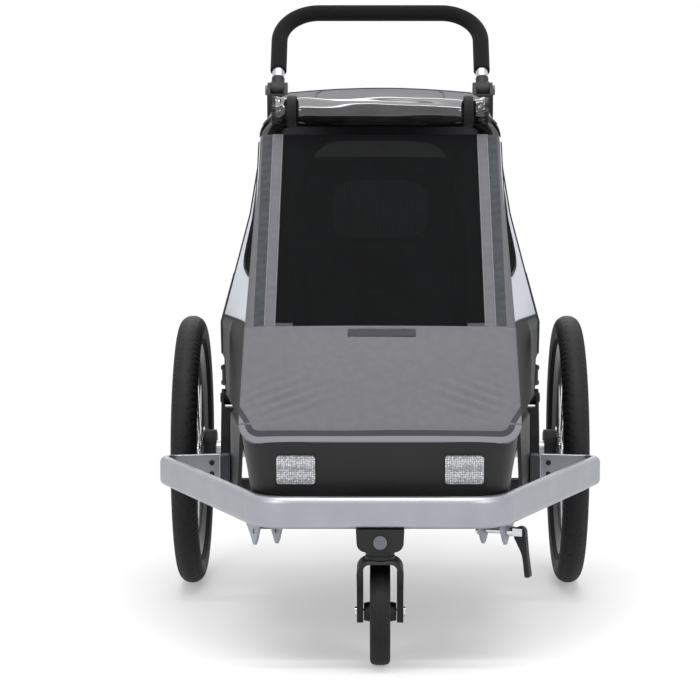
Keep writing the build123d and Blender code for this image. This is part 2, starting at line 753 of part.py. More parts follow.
def brake_pedal():
    """The cross bar with its foot pedal, which tips down behind the axle."""
    forward, up = BRAKE_BAR
    bar = cross_rod(BRAKE_BAR_D, (-RAIL_X - 24, RAIL_X + 24), forward, up)
    width, length, thick = PEDAL
    plate = outline(
        [(-width / 2, forward + 4), (width / 2, forward + 4), (width / 2 - 8, forward - length), (8 - width / 2, forward - length)],
        [4, 4, 16, 16],
    )
    tread = slab(plan_plane(up - 1), plate, -thick / 2, thick / 2)
    return bar + tread


# ---- caster -------------------------------------------------------------------------

def caster_bracket():
    """The block under the bumper's nose that takes the caster's stem."""
    half = CASTER_BRACKET_W / 2
    face = outline(
        [(-half, BUMPER_Z), (half, BUMPER_Z), (half - 2, CASTER_BRACKET_Z), (2 - half, CASTER_BRACKET_Z)],
        [2, 2, 14, 14],
    )
    rear = CASTER_FORWARD - NECK_D / 2 - 6
    shape = slab(front_plane(rear), face, 0, BUMPER_FORWARD - rear)
    shape -= upright(FORK_STEM_D + 2 * FIT, 0, CASTER_FORWARD, (CASTER_BRACKET_Z - 1, BUMPER_Z - 6))
    button = front_plane(BUMPER_FORWARD - 8) * (Pos(0, CASTER_BUTTON_Z) * Circle(CASTER_BUTTON_D / 2 + FIT))
    return shape - extrude(button, amount=10)


def caster_button():
    """The round release button in the bracket's front."""
    face = front_plane(BUMPER_FORWARD - 4.2) * (Pos(0, CASTER_BUTTON_Z) * Circle(CASTER_BUTTON_D / 2))
    return extrude(face, amount=7.2)


def caster_fork():
    """A crown and two legs that trail back to the axle, under a ringed neck."""
    axle = CASTER_FORWARD - CASTER_TRAIL
    crown = CASTER_FORWARD
    side = outline(
        [
            (crown + 24, FORK_CROWN_Z), (crown - 40, FORK_CROWN_Z), (axle - 16, 150), (axle - 15, CASTER_R - 17),
            (axle + 15, CASTER_R - 17), (axle + 22, 120), (crown + 26, FORK_CROWN_Z - 18),
        ],
        [8, 20, 30, 14, 14, 40, 12],
    )
    fork = extrude(side_plane() * side, amount=FORK_W / 2, both=True)
    half = FORK_W / 2
    front = outline(
        [(-half, 0), (half, 0), (half, FORK_CROWN_Z), (-half, FORK_CROWN_Z)],
        [0, 0, 24, 24],
    )
    fork &= extrude(front_plane(crown - 200) * front, amount=300)
    inside = half - FORK_LEG
    window = outline(
        [(-inside, 0), (inside, 0), (inside, FORK_CROWN_Z - 6.5), (-inside, FORK_CROWN_Z - 6.5)],
        [0, 0, 10, 10],
    )
    fork -= extrude(front_plane(crown - 200) * window, amount=300)
    fork += upright(NECK_D, 0, crown, (FORK_CROWN_Z, FORK_CROWN_Z + 5))
    fork += upright(NECK_D - 5, 0, crown, (FORK_CROWN_Z + 5, FORK_CROWN_Z + 8))
    fork += upright(NECK_D, 0, crown, (FORK_CROWN_Z + 8, CASTER_BRACKET_Z - GAP))
    fork += upright(FORK_STEM_D, 0, crown, (FORK_CROWN_Z, BUMPER_Z - 8))
    return fork - cross_rod(CASTER_AXLE_D, (-FORK_W, FORK_W), axle, CASTER_R)


def caster_axle():
    """The caster wheel's axle with a domed nut at each end."""
    axle = CASTER_FORWARD - CASTER_TRAIL
    half = FORK_W / 2
    rod = cross_rod(CASTER_AXLE_D, (-half, half), axle, CASTER_R)
    for side in (-1, 1):
        rod += cross_rod(16, (side * half, side * (half + 3)), axle, CASTER_R)
    return rod


def on_caster(shape):
    """Puts a shape made about the X axis on the caster's axle."""
    return Pos(at(0, CASTER_FORWARD - CASTER_TRAIL, CASTER_R)) * shape


def caster_tyre():
    """A solid tyre with rounded shoulders."""
    half = CASTER_W / 2
    inner = CASTER_RIM_R + 0.1
    return on_caster(revolved([(-half, inner), (half, inner), (half, CASTER_R), (-half, CASTER_R)], [2, 2, 11, 11]))


def caster_rim():
    """A moulded wheel: rim, web with holes and hub."""
    half = CASTER_W / 2
    bore = CASTER_AXLE_D / 2 + FIT
    inside = FORK_W / 2 - FORK_LEG - 1.0
    profile = [
        (-inside, bore), (inside, bore), (inside, 14), (4, 18), (4, CASTER_RIM_R - 10), (half - 1, CASTER_RIM_R - 7),
        (half - 1, CASTER_RIM_R), (1 - half, CASTER_RIM_R), (1 - half, CASTER_RIM_R - 7), (-4, CASTER_RIM_R - 10),
        (-4, 18), (-inside, 14),
    ]
    wheel = revolved(profile)
    for index in range(5):
        angle = math.radians(72 * index + 36)
        hole = Pos(0, 33 * math.cos(angle), 33 * math.sin(angle)) * Rot(0, 90, 0) * Cylinder(9, 20)
        wheel -= hole
    return on_caster(wheel)


# ---- front hoop, rear frame and handlebar -------------------------------------------

def front_hoop():
    """The hoop that holds the window up, with an eye at the foot of each leg."""
    half = HOOP_HALF
    start = HOOP_PIN_D
    points = [(half, start), (half, HOOP_LENGTH), (-half, HOOP_LENGTH), (-half, start)]
    hoop = bent_tube(HOOP, points, HOOP_BEND, HOOP_D, HOOP_WALL)
    for side in (-1, 1):
        span = (side * (half - HOOP_EYE_HALF), side * (half + HOOP_EYE_HALF))
        hoop += cross_rod(HOOP_EYE_D, span, *HOOP_PIVOT)
    bore = 2 * FIT + HOOP_PIN_D
    return hoop - cross_rod(bore, (-half - 30, half + 30), *HOOP_PIVOT)


def frame_points():
    """The rear frame's centre line: down one leg, across the top and up the other."""
    leg = list(zip(FRAME_X, (*FRAME_REACH, FRAME_LENGTH)))
    return leg + [(-across, along) for across, along in reversed(leg)]


def rear_frame():
    """Two bowed legs joined by the top bar, with an eye at each fold pin."""
    radii = [*FRAME_BENDS, *reversed(FRAME_BENDS)]
    frame = bent_tube(FRAME, frame_points(), radii, FRAME_D, FRAME_WALL)
    for side in (-1, 1):
        middle = side * FRAME_X[0]
        span = (middle - FOLD_EYE_HALF, middle + FOLD_EYE_HALF)
        frame += cross_rod(FOLD_EYE_D, span, *FOLD_PIVOT)
    bore = FOLD_PIN_D + 2 * FIT
    return frame - cross_rod(bore, (-FRAME_X[0] - 30, FRAME_X[0] + 30), *FOLD_PIVOT)


def sleeve_plane():
    """At the foot of the left leg, looking along the leg."""
    rise = Vector(FRAME_X[1] - FRAME_X[0], FRAME_REACH[1], 0).normalized()
    start = FRAME.from_local_coords((FRAME_X[0] + rise.X * SLEEVE_START, rise.Y * SLEEVE_START, 0))
    heading = FRAME.from_local_coords(rise) - FRAME.origin
    return Plane(origin=start, x_dir=(1, 0, 0), z_dir=heading)


def lock_sleeve():
    """A ribbed collar that slides up the leg to free the fold."""
    tube = Cylinder(SLEEVE_D / 2, SLEEVE_LENGTH, align=(Align.CENTER, Align.CENTER, Align.MIN))
    for height in (0.0, SLEEVE_LENGTH - 5):
        tube += Pos(0, 0, height) * Cylinder(SLEEVE_D / 2 + 2, 5, align=(Align.CENTER, Align.CENTER, Align.MIN))
    bore = Cylinder(FRAME_D / 2 + FIT, 3 * SLEEVE_LENGTH)
    return sleeve_plane() * (tube - bore)


def handle_mount():
    """A moulded clamp on the frame's top corner with a fork for the handlebar."""
    half = KNUCKLE_W / 2 + GAP + MOUNT_CHEEK
    forward, up = HANDLE_PIVOT
    face = outline(
        [
            (FRAME_TOP[0] + 18, FRAME_TOP[1] - 34), (FRAME_TOP[0] + 22, FRAME_TOP[1] + 14),
            (forward + 14, up + 15), (forward - 17, up + 13), (forward - 14, up - 20),
            (FRAME_TOP[0] - 14, FRAME_TOP[1] - 40),
        ],
        [6, 10, 12, 14, 14, 6],
    )
    shape = slab(side_plane(HANDLE_HALF), face, -half, half)
    span = (HANDLE_HALF - KNUCKLE_W / 2 - GAP, HANDLE_HALF + KNUCKLE_W / 2 + GAP)
    swing = KNUCKLE_D / 2 + 2
    shape -= cross_rod(2 * swing, span, forward, up)
    shape -= block(span, (forward - 60, forward + 60), (up - 8, up + 60))
    return shape - block(span, (forward - 60, forward), (up - swing, up))


def frame_clearance():
    """The rear frame's outside, which its clamps are cut to."""
    radii = [*FRAME_BENDS, *reversed(FRAME_BENDS)]
    return bent_tube(FRAME, frame_points(), radii, FRAME_D)


def handle_mounts():
    """Both clamps, cut to seat on the frame, with their pivot pins."""
    shape = handle_mount() - frame_clearance()
    half = KNUCKLE_W / 2 + GAP + MOUNT_CHEEK
    inner, outer = HANDLE_HALF - half, HANDLE_HALF + half
    shape -= cross_rod(HANDLE_PIN_D, (inner - 1, outer + 1), *HANDLE_PIVOT)
    pocket = (outer - MOUNT_CHEEK + 1, outer + 1)
    shape -= cross_rod(HANDLE_BUTTON_D + 2 * FIT, pocket, *HANDLE_PIVOT)
    clamp = max(shape.solids(), key=lambda solid: solid.volume)
    return group([pair(clamp), pair(handle_pin())])


def handle_pin():
    """The pin that one side of the handlebar tilts about."""
    half = KNUCKLE_W / 2 + GAP + MOUNT_CHEEK
    return cross_rod(HANDLE_PIN_D, (HANDLE_HALF - half, HANDLE_HALF + half - MOUNT_CHEEK + 0.8), *HANDLE_PIVOT)


def handle_button():
    """The push button on the outside of the mount."""
    outer = HANDLE_HALF + KNUCKLE_W / 2 + GAP + MOUNT_CHEEK
    return cross_rod(HANDLE_BUTTON_D, (outer - 1.5, outer + HANDLE_BUTTON_OUT), *HANDLE_PIVOT)


def handle_points(start):
    """The handlebar's centre line above a distance from its pivots."""
    half = HANDLE_HALF
    return [(half, start), (half, HANDLE_LENGTH), (-half, HANDLE_LENGTH), (-half, start)]


def handle_tube():
    """The bent tube of the handlebar."""
    start = KNUCKLE_D / 2 - 4
    return bent_tube(HANDLE, handle_points(start), HANDLE_BEND, HANDLE_TUBE_D, HANDLE_TUBE_WALL)


def handle_knuckles():
    """Moulded ends of the handlebar, each a round eye with a short socket."""
    middle = HANDLE_HALF
    eye = cross_rod(KNUCKLE_D, (middle - KNUCKLE_W / 2, middle + KNUCKLE_W / 2), *HANDLE_PIVOT)
    socket = HANDLE.offset(0) * (Pos(middle, 0, 0) * Rot(-90, 0, 0) * Cylinder(
        KNUCKLE_W / 2 - GAP, 30, align=(Align.CENTER, Align.CENTER, Align.MIN)
    ))
    knuckle = eye + socket
    bore = HANDLE * (Pos(middle, KNUCKLE_D / 2 - 4, 0) * Rot(-90, 0, 0) * Cylinder(
        HANDLE_TUBE_D / 2, 60, align=(Align.CENTER, Align.CENTER, Align.MIN)
    ))
    knuckle -= bore
    knuckle -= cross_rod(HANDLE_PIN_D + 2 * FIT, (middle - 40, middle + 40), *HANDLE_PIVOT)
    return pair(knuckle)


def handle_grip():
    """The foam sleeve over the handlebar's legs, bends and top."""
    wall = (GRIP_D - HANDLE_TUBE_D) / 2
    return bent_tube(HANDLE, handle_points(GRIP_START), HANDLE_BEND, GRIP_D, wall)


# ---- soft parts ---------------------------------------------------------------------

def seat_cushion():
    """The seat pad on the deck."""
    front, rear = SEAT_FORWARD
    low = DECK_Z + TUB_WALL + GAP
    profile = outline([(rear, low), (front, low), (front, SEAT_TOP_Z), (rear, SEAT_TOP_Z)], [4, 6, 22, 6])
    return extrude(side_plane() * profile, amount=SEAT_HALF, both=True)


def back_foot():
    """Where the seat back starts along the rear frame so that it meets the cushion."""
    lean = -FRAME_RISE[0] / FRAME_LENGTH
    rise = FRAME_RISE[1] / FRAME_LENGTH
    return (SEAT_TOP_Z + GAP - FOLD_PIVOT[1] - (FRAME_D / 2 + 2) * lean) / rise


def seat_back():
    """The padded back, in front of the rear frame."""
    face = outline(
        [(-BACK_HALF, back_foot()), (BACK_HALF, back_foot()), (BACK_HALF - 14, BACK_LENGTH), (14 - BACK_HALF, BACK_LENGTH)],
        [20, 20, 50, 50],
    )
    start = FRAME_D / 2 + 2
    return slab(FRAME, face, start, start + BACK_THICK)


def head_rest():
    """The pad across the upper seat back."""
    face = Pos(0, 355) * RectangleRounded(202, 136, 40)
    start = FRAME_D / 2 + 2 + BACK_THICK + GAP
    return slab(FRAME, face, start, start + 14)


def harness():
    """Two shoulder straps and a crotch strap."""
    start = FRAME_D / 2 + 2 + BACK_THICK + GAP
    straps = []
    for side in (-1, 1):
        face = outline([(side * 30, 120), (side * 66, 280), (side * 98, 280), (side * 58, 120)])
        straps.append(slab(FRAME, face, start, start + FABRIC))
    low = SEAT_TOP_Z + GAP
    straps.append(block((-17, 17), (60, 150), (low, low + FABRIC)))
    return group(straps)


def buckle():
    """The harness buckle at the middle of the straps."""
    start = FRAME_D / 2 + 2 + BACK_THICK + GAP
    return slab(FRAME, Pos(0, 92) * RectangleRounded(56, 48, 12), start, start + 12)


def window_mesh():
    """The mesh front with its fabric border, lying on the hoop."""
    low, high = WINDOW_REACH
    start = HOOP_D / 2 + GAP
    face = Pos(0, (low + high) / 2) * Rectangle(2 * WINDOW_HALF, high - low)
    return slab(HOOP, face, start, start + FABRIC)


def front_apron():
    """The padded lower front cover."""
    low, high = APRON_REACH
    start = HOOP_D / 2 + GAP
    half = APRON_HALF
    face = outline([(-half + 6, low), (half - 6, low), (half, high), (-half, high)], [28, 28, 4, 4])
    return slab(HOOP, face, start, start + APRON_THICK)


def roof_cover():
    """The fabric top from the hoop to the rear frame's bar, notched at the corners."""
    front = (HOOP_TIP[0] + 6, HOOP_TIP[1] + HOOP_D / 2 + 2 * GAP)
    rear = (FRAME_TOP[0] - 4, FRAME_TOP[1] + FRAME_D / 2 + 3 * GAP)
    profile = outline([front, (front[0], front[1] + FABRIC), (rear[0], rear[1] + FABRIC), rear])
    half = ROOF_HALF
    neck = HANDLE_HALF - KNUCKLE_W / 2 - GAP - MOUNT_CHEEK - 2
    step = FRAME_TOP[0] + 26
    plan = outline(
        [(-half, front[0] + 5), (half, front[0] + 5), (half, step), (neck, step), (neck, rear[0] - 5),
         (-neck, rear[0] - 5), (-neck, step), (-half, step)],
    )
    sheet = extrude(side_plane() * profile, amount=half, both=True)
    return sheet & extrude(plan_plane(0) * plan, amount=-1200)


def side_panel():
    """The fabric side between the front hoop and the rear frame's leg."""
    across = HOOP_HALF + HOOP_D / 2 + GAP
    low, high = 24.0, HOOP_LENGTH - 52
    front = [HOOP.from_local_coords((across + side, along, 0)) for side, along in
             ((0, low), (FABRIC, low), (FABRIC, high), (0, high))]
    start = FRAME_D / 2 + 3
    knee, top = FRAME_X[1] - 4, FRAME_X[3] + 14
    back = [FRAME.from_local_coords((side, along, start)) for side, along in
            ((knee, 80), (knee + FABRIC, 80), (top + FABRIC, 540), (top, 540))]
    faces = [make_face(Polyline(*points, close=True)) for points in (front, back)]
    return loft(faces, ruled=True)


def rear_cover():
    """The fabric behind the seat, outside the rear frame."""
    face = outline(
        [(-FRAME_X[1] + 6, 150), (FRAME_X[1] - 6, 150), (FRAME_X[3] + 5, 545), (-FRAME_X[3] - 5, 545)],
        [10, 10, 30, 30],
    )
    start = -FRAME_D / 2 - GAP
    return slab(FRAME, face, start - FABRIC, start)


def luggage_bag():
    """The bag behind the seat, on the tub's rear wall."""
    half, depth, height = BAG
    draft = TUB_DRAFT / (TUB_RIM_Z - TUB_FLOOR_Z)
    rear = TUB_REAR + draft * (TUB_RIM_Z - TUB_REAR_RIM_Z) - GAP
    profile = outline(
        [(rear, BAG_Z), (rear, BAG_Z + height), (rear - depth, BAG_Z + height), (rear - depth, BAG_Z)],
        [10, 14, 40, 24],
    )
    return extrude(side_plane() * profile, amount=half, both=True)


def roll_plane():
    """The rolled rain cover's axis, on the front of the hoop's top."""
    start = HOOP_D / 2 + GAP + ROLL_D / 2
    return HOOP.from_local_coords((0, ROLL_REACH, start))


def rain_roll():
    """The rolled rain cover."""
    return Pos(roll_plane()) * Rot(0, 90, 0) * Cylinder(ROLL_D / 2, 2 * ROLL_HALF)


def roll_straps():
    """Two straps that tie the roll to the hoop."""
    inner = ROLL_D / 2 + 0.1
    ring = Cylinder(inner + 2, STRAP_W) - Cylinder(inner, STRAP_W)
    return pair(Pos(roll_plane()) * Pos(STRAP_X, 0, 0) * Rot(0, 90, 0) * ring)


# ---- the assembly -------------------------------------------------------------------

def single_nodes():
    """Sub-parts that are one node, whether one solid or a pair."""
    return {
        "floor_tub": floor_tub(),
        "skirts": pair(skirt()),
        "chassis_rails": chassis_rails(),
        "axle_tube": axle_tube(),
        "axle_saddles": axle_saddles(),
        "stub_axles": pair(stub_axle()),
        "brake_housings": pair(brake_housing()),
        "fold_brackets": pair(fold_bracket()),
        "fold_pins": group([fold_pins(), hoop_pins()]),
        "hoop_feet": pair(hoop_foot()),
        "bumper": bumper(),
        "bumper_brackets": pair(bumper_bracket()),
        "bumper_screws": bumper_screws(),
        "front_reflectors": front_reflectors(),
        "flag_socket": flag_socket(),
        "hitch_receivers": group([hitch_plates(1), hitch_plates(-1)]),
        "hitch_skewer": hitch_skewer(),
        "hitch_lever": hitch_lever(),
        "brake_pedal": brake_pedal(),
        "caster_bracket": caster_bracket(),
        "caster_button": caster_button(),
        "caster_fork": caster_fork(),
        "caster_axle": caster_axle(),
        "caster_tyre": caster_tyre(),
        "caster_rim": caster_rim(),
        "front_hoop": front_hoop(),
        "rear_frame": rear_frame(),
        "handle_mounts": handle_mounts(),
        "handle_tube": handle_tube(),
        "handle_knuckles": handle_knuckles(),
        "handle_grip": handle_grip(),
        "seat_cushion": seat_cushion(),
        "seat_back": seat_back(),
        "head_rest": head_rest(),
        "harness": harness(),
        "buckle": buckle(),
        "window_mesh": window_mesh(),
        "front_apron": front_apron(),
        "roof_cover": roof_cover(),
        "side_panels": pair(side_panel()),
        "rear_cover": rear_cover(),
        "luggage_bag": luggage_bag(),
        "rain_roll": rain_roll(),
        "roll_straps": roll_straps(),
    }


def sided_nodes():
    """Sub-parts with a node on each side, because each side moves by itself."""
    return {
        "tyre": tyre(),
        "rim": rim(),
        "hub": hub(),
        "spokes": spokes(),
        "hub_button": hub_button(),
        "brake_pin": brake_pin(),
        "lock_sleeve": lock_sleeve(),
        "handle_button": handle_button(),
    }


def nodes():
    """Every sub-part by its name; left is +X, the trailer's own left."""
    parts = single_nodes()
    for name, shape in sided_nodes().items():
        parts[name + "_left"] = shape
        parts[name + "_right"] = mirrored(shape)
    return parts


def main():
    """Writes one STEP file for each sub-part."""
    os.makedirs("parts", exist_ok=True)
    for name, shape in nodes().items():
        export_step(shape, "parts/" + name + ".step")


if __name__ == "__main__":
    main()
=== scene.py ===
import json
import math

import bmesh
import bpy
import numpy as np
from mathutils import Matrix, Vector


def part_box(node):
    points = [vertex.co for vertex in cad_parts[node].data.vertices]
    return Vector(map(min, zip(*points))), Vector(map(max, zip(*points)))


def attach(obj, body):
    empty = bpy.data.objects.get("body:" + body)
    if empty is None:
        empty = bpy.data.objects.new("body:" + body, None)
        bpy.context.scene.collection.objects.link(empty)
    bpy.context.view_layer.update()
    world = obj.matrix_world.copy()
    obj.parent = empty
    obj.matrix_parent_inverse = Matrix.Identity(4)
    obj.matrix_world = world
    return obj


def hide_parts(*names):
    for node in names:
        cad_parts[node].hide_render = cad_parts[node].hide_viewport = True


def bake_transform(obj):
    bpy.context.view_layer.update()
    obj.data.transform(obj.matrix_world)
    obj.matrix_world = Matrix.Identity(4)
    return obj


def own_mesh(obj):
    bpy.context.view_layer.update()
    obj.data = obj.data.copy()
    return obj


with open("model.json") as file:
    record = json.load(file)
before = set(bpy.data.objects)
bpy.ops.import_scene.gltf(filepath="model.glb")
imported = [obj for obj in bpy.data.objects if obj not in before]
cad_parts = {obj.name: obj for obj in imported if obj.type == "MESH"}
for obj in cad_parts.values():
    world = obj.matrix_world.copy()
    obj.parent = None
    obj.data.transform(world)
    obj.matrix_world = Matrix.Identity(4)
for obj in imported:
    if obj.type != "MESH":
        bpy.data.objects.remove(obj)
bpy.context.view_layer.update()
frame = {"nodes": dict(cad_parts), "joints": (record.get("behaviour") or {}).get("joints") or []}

bl_info = {
    "name": "Child bicycle trailer",
    "version": (1, 0, 0),
    "blender": (4, 5, 0),
    "location": "View3D > Sidebar > Trailer",
    "description": "Builds a child trailer's fabrics, pads, tyres and finishes round its CAD frame",
    "category": "Object",
}

# Lengths are in metres. X runs across the trailer, Y from its nose to its tail, Z up.
ACROSS = np.array([1.0, 0.0, 0.0])
HOOP_TUBE = 0.020
LEG_TUBE = 0.025
CLEAR = 0.0004                  # gap between a fabric and what it lies on
WEAVE = 0.0016                  # thread spacing; the real 0.4 mm is too fine to show
ON_HOOP = HOOP_TUBE / 2 + CLEAR     # the underside of what is stretched over the hoop
PAD_START = LEG_TUBE / 2 + 0.002    # the underside of the seat's back pad, off the legs
PAD_THICK = 0.034
SIDE_WINDOW = (0.63, 0.22), (0.60, 0.20)    # its middle and half size, along and up the panel
BACK_WINDOW = (0.0, 0.62), (0.62, 0.26)     # the same on the rear cover


# ---- places taken from the frame --------------------------------------------------------

def low(node):
    """A CAD node's lowest corner."""
    return np.array(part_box(node)[0])


def high(node):
    """A CAD node's highest corner."""
    return np.array(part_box(node)[1])


def joint_place(name):
    """Where a joint turns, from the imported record."""
    return np.array([j for j in frame["joints"] if j["name"] == name][0]["pos_m"])


class Leaning:
    """A leaning frame's own directions: across, along it from its pivot, and out of its front."""

    def __init__(self, joint, node, tube):
        """Runs from the joint to the middle of the node's top bar."""
        self.pivot = joint_place(joint)
        rise = high(node) - tube / 2 - self.pivot
        self.length = math.hypot(rise[1], rise[2])
        self.along = np.array([0, rise[1], rise[2]]) / self.length
        self.out = np.array([0, -self.along[2], self.along[1]])

    def at(self, across, reach, offset):
        """Points for arrays of across, reach and offset, which may have any one shape."""
        across, reach, offset = np.broadcast_arrays(across, reach, offset)
        return (
            self.pivot + across[..., None] * ACROSS
            + reach[..., None] * self.along + offset[..., None] * self.out
        )


HOOP = Leaning("hoop_fold", "front_hoop", HOOP_TUBE)
LEGS = Leaning("fold", "rear_frame", LEG_TUBE)
LEG_REACH = np.array([0.0, 0.144, 0.360, 0.596])
LEG_X = np.array([0.279, 0.285, 0.234, 0.200])   # half width of the legs at those reaches


# ---- numbers and noise ------------------------------------------------------------------

def linear(hexa):
    """An sRGB hex colour as linear red, green and blue."""
    parts = [int(hexa[i:i + 2], 16) / 255 for i in (1, 3, 5)]
    return [c / 12.92 if c <= 0.04045 else ((c + 0.055) / 1.055) ** 2.4 for c in parts]


def smooth(value, start, stop):
    """0 before start, 1 after stop and an S curve between."""
    share = np.clip((value - start) / (stop - start), 0, 1)
    return share * share * (3 - 2 * share)


def ripples(across, along, seed, waves=7, size=0.06):
    """Cloth unevenness, about -1 to 1: sine waves of seeded headings, lengths and phases."""
    draw = np.random.default_rng(seed)
    total = np.zeros(np.broadcast(across, along).shape)
    for _ in range(waves):
        heading, phase = draw.uniform(0, 2 * math.pi, 2)
        length = size * draw.uniform(0.6, 1.8)
        run = across * math.cos(heading) + along * math.sin(heading)
        total = total + np.sin(2 * math.pi * run / length + phase)
    return total / math.sqrt(waves)


def power(value, exponent):
    """A power that keeps its sign, which squares off a circle into a superellipse."""
    return np.sign(value) * np.abs(value) ** exponent


# ---- meshes -----------------------------------------------------------------------------

def surface(name, points, zones=None, cloth=None, flip=False, tags=None):
    """A mesh from a grid of points of shape (rows, columns, 3).

    Neighbouring rows and columns make the faces. Points that coincide, at a seam or a pole,
    are merged, so a grid whose last column repeats its first closes. zones gives each face's
    material, cloth its UV in metres, and tags named values at each point."""
    rows, columns = points.shape[:2]
    index = np.arange(rows * columns).reshape(rows, columns)
    quads = np.stack([index[:-1, :-1], index[:-1, 1:], index[1:, 1:], index[1:, :-1]], -1)
    quads = quads.reshape(-1, 4)
    if flip:
        quads = quads[:, ::-1]
    mesh = bpy.data.meshes.new(name)
    mesh.from_pydata(points.reshape(-1, 3).tolist(), [], quads.tolist())
    if zones is not None:
        for _ in range(int(np.max(zones)) + 1):
            mesh.materials.append(None)
        mesh.polygons.foreach_set("material_index", np.asarray(zones, np.int32).ravel())
    if cloth is not None:
        layer = mesh.uv_layers.new(name="cloth")
        flat = np.broadcast_to(cloth, (rows, columns, 2)).reshape(-1, 2)
        layer.uv.foreach_set("vector", flat[quads.ravel()].astype(np.float32).ravel())
    for label, values in (tags or {}).items():
        made = mesh.attributes.new(label, "FLOAT", "POINT")
        made.data.foreach_set("value", np.asarray(values, np.float32).ravel())
    weld(mesh)
    obj = bpy.data.objects.new(name, mesh)
    bpy.context.collection.objects.link(obj)
    return obj


def weld(mesh, outward=False):
    """Merges points that coincide, drops faces with no area and shades smooth."""
    work = bmesh.new()
    work.from_mesh(mesh)
    bmesh.ops.remove_doubles(work, verts=work.verts, dist=1e-6)
    bmesh.ops.dissolve_degenerate(work, edges=work.edges, dist=1e-7)
    if outward:
        bmesh.ops.recalc_face_normals(work, faces=work.faces)
    work.to_mesh(mesh)
    work.free()
    mesh.polygons.foreach_set("use_smooth", np.ones(len(mesh.polygons), bool))
    mesh.update()


def settle(obj):
    """Makes the mesh what its modifiers give, and drops them."""
    bpy.context.view_layer.update()
    done = bpy.data.meshes.new_from_object(obj.evaluated_get(bpy.context.evaluated_depsgraph_get()))
    obj.modifiers.clear()
    obj.data = done
    return obj


def thicken(obj, thickness, offset=-1.0):
    """Gives a sheet its wall; offset -1 puts it behind the face, 1 in front."""
    wall = obj.modifiers.new("wall", "SOLIDIFY")
    wall.thickness = thickness
    wall.offset = offset
    wall.use_even_offset = False
    return settle(obj)


def refine(obj, levels=1):
    """Subdivides the mesh smoothly."""
    step = obj.modifiers.new("smooth", "SUBSURF")
    step.levels = levels
    step.render_levels = levels
    return settle(obj)


def coordinates(obj):
    """A mesh's points as an array."""
    flat = np.empty(len(obj.data.vertices) * 3, np.float32)
    obj.data.vertices.foreach_get("co", flat)
    return flat.reshape(-1, 3).astype(float)


def move_points(obj, points):
    """Puts an array of points back into a mesh."""
    obj.data.vertices.foreach_set("co", points.astype(np.float32).ravel())
    obj.data.update()


def sweep(name, path, profile, side, closed=False):
    """A profile carried along a path.

    Each profile point (a, b) lies a along the side direction and b along the one square to
    it and to the path. An open sweep is capped by rings shrunk to the path's ends."""
    path = np.asarray(path, float)
    if closed:
        path = np.vstack([path, path[:1]])
        padded_path = np.vstack([path[-2:-1], path, path[1:2]])
        run = padded_path[2:] - padded_path[:-2]
    else:
        run = np.gradient(path, axis=0)
    run /= np.linalg.norm(run, axis=1)[:, None]
    side = np.broadcast_to(side, path.shape)
    side = side - (side * run).sum(1)[:, None] * run
    side = side / np.linalg.norm(side, axis=1)[:, None]
    up = np.cross(run, side)
    ring = np.vstack([profile, profile[:1]])
    points = path[:, None] + ring[:, :1] * side[:, None] + ring[:, 1:] * up[:, None]
    along = np.concatenate([[0], np.cumsum(np.linalg.norm(np.diff(path, axis=0), axis=1))])
    around = np.concatenate([[0], np.cumsum(np.linalg.norm(np.diff(ring, axis=0), axis=1))])
    if not closed:
        first = np.repeat(path[:1, None], len(ring), 1)
        last = np.repeat(path[-1:, None], len(ring), 1)
        points = np.concatenate([first, points, last])
        along = np.concatenate([along[:1], along, along[-1:]])
    flat = np.stack(np.meshgrid(along, around, indexing="ij"), -1)[..., ::-1]
    obj = surface(name, points, cloth=flat)
    weld(obj.data, outward=True)
    return obj


def join(name, objects):
    """Several pieces as one mesh."""
    work = bmesh.new()
    for obj in objects:
        work.from_mesh(obj.data)
    mesh = bpy.data.meshes.new(name)
    work.to_mesh(mesh)
    work.free()
    for obj in objects:
        bpy.data.objects.remove(obj)
    mesh.polygons.foreach_set("use_smooth", np.ones(len(mesh.polygons), bool))
    joined = bpy.data.objects.new(name, mesh)
    bpy.context.collection.objects.link(joined)
    return joined


def round_profile(radius, count=10):
    """A circle of points."""
    turn = np.linspace(0, 2 * math.pi, count, endpoint=False)
    return radius * np.stack([np.cos(turn), np.sin(turn)], -1)


def flat_profile(width, thickness, count=20):
    """A strap's section: a superellipse of its width and thickness."""
    turn = np.linspace(0, 2 * math.pi, count, endpoint=False)
    return np.stack(
        [width / 2 * power(np.cos(turn), 0.3), thickness / 2 * power(np.sin(turn), 0.5)], -1,
    )


def tile(name, half, thickness, place, rows=14, columns=28, bow=0.0, roundness=0.3):
    """A stuffed or moulded tile: a superquadric with half sizes along two directions.

    place turns arrays of (first, second, height) into points; bow lifts the tile's middle."""
    v = np.linspace(-math.pi / 2, math.pi / 2, rows + 1)[:, None]
    u = np.linspace(0, 2 * math.pi, columns + 1)[None, :]
    first = half[0] * power(np.cos(v), roundness) * power(np.cos(u), roundness)
    second = half[1] * power(np.cos(v), roundness) * power(np.sin(u), roundness)
    rise = thickness / 2 * power(np.sin(v), roundness * 1.6) + 0 * u
    rise = rise + bow * (1 - (first / half[0]) ** 2) * (
        1 - (second / half[1]) ** 2
    ) * (np.sin(v) > 0)
    points = place(first, second, rise)
    obj = surface(name, points, cloth=np.stack([first, second], -1))
    weld(obj.data, outward=True)
    return obj


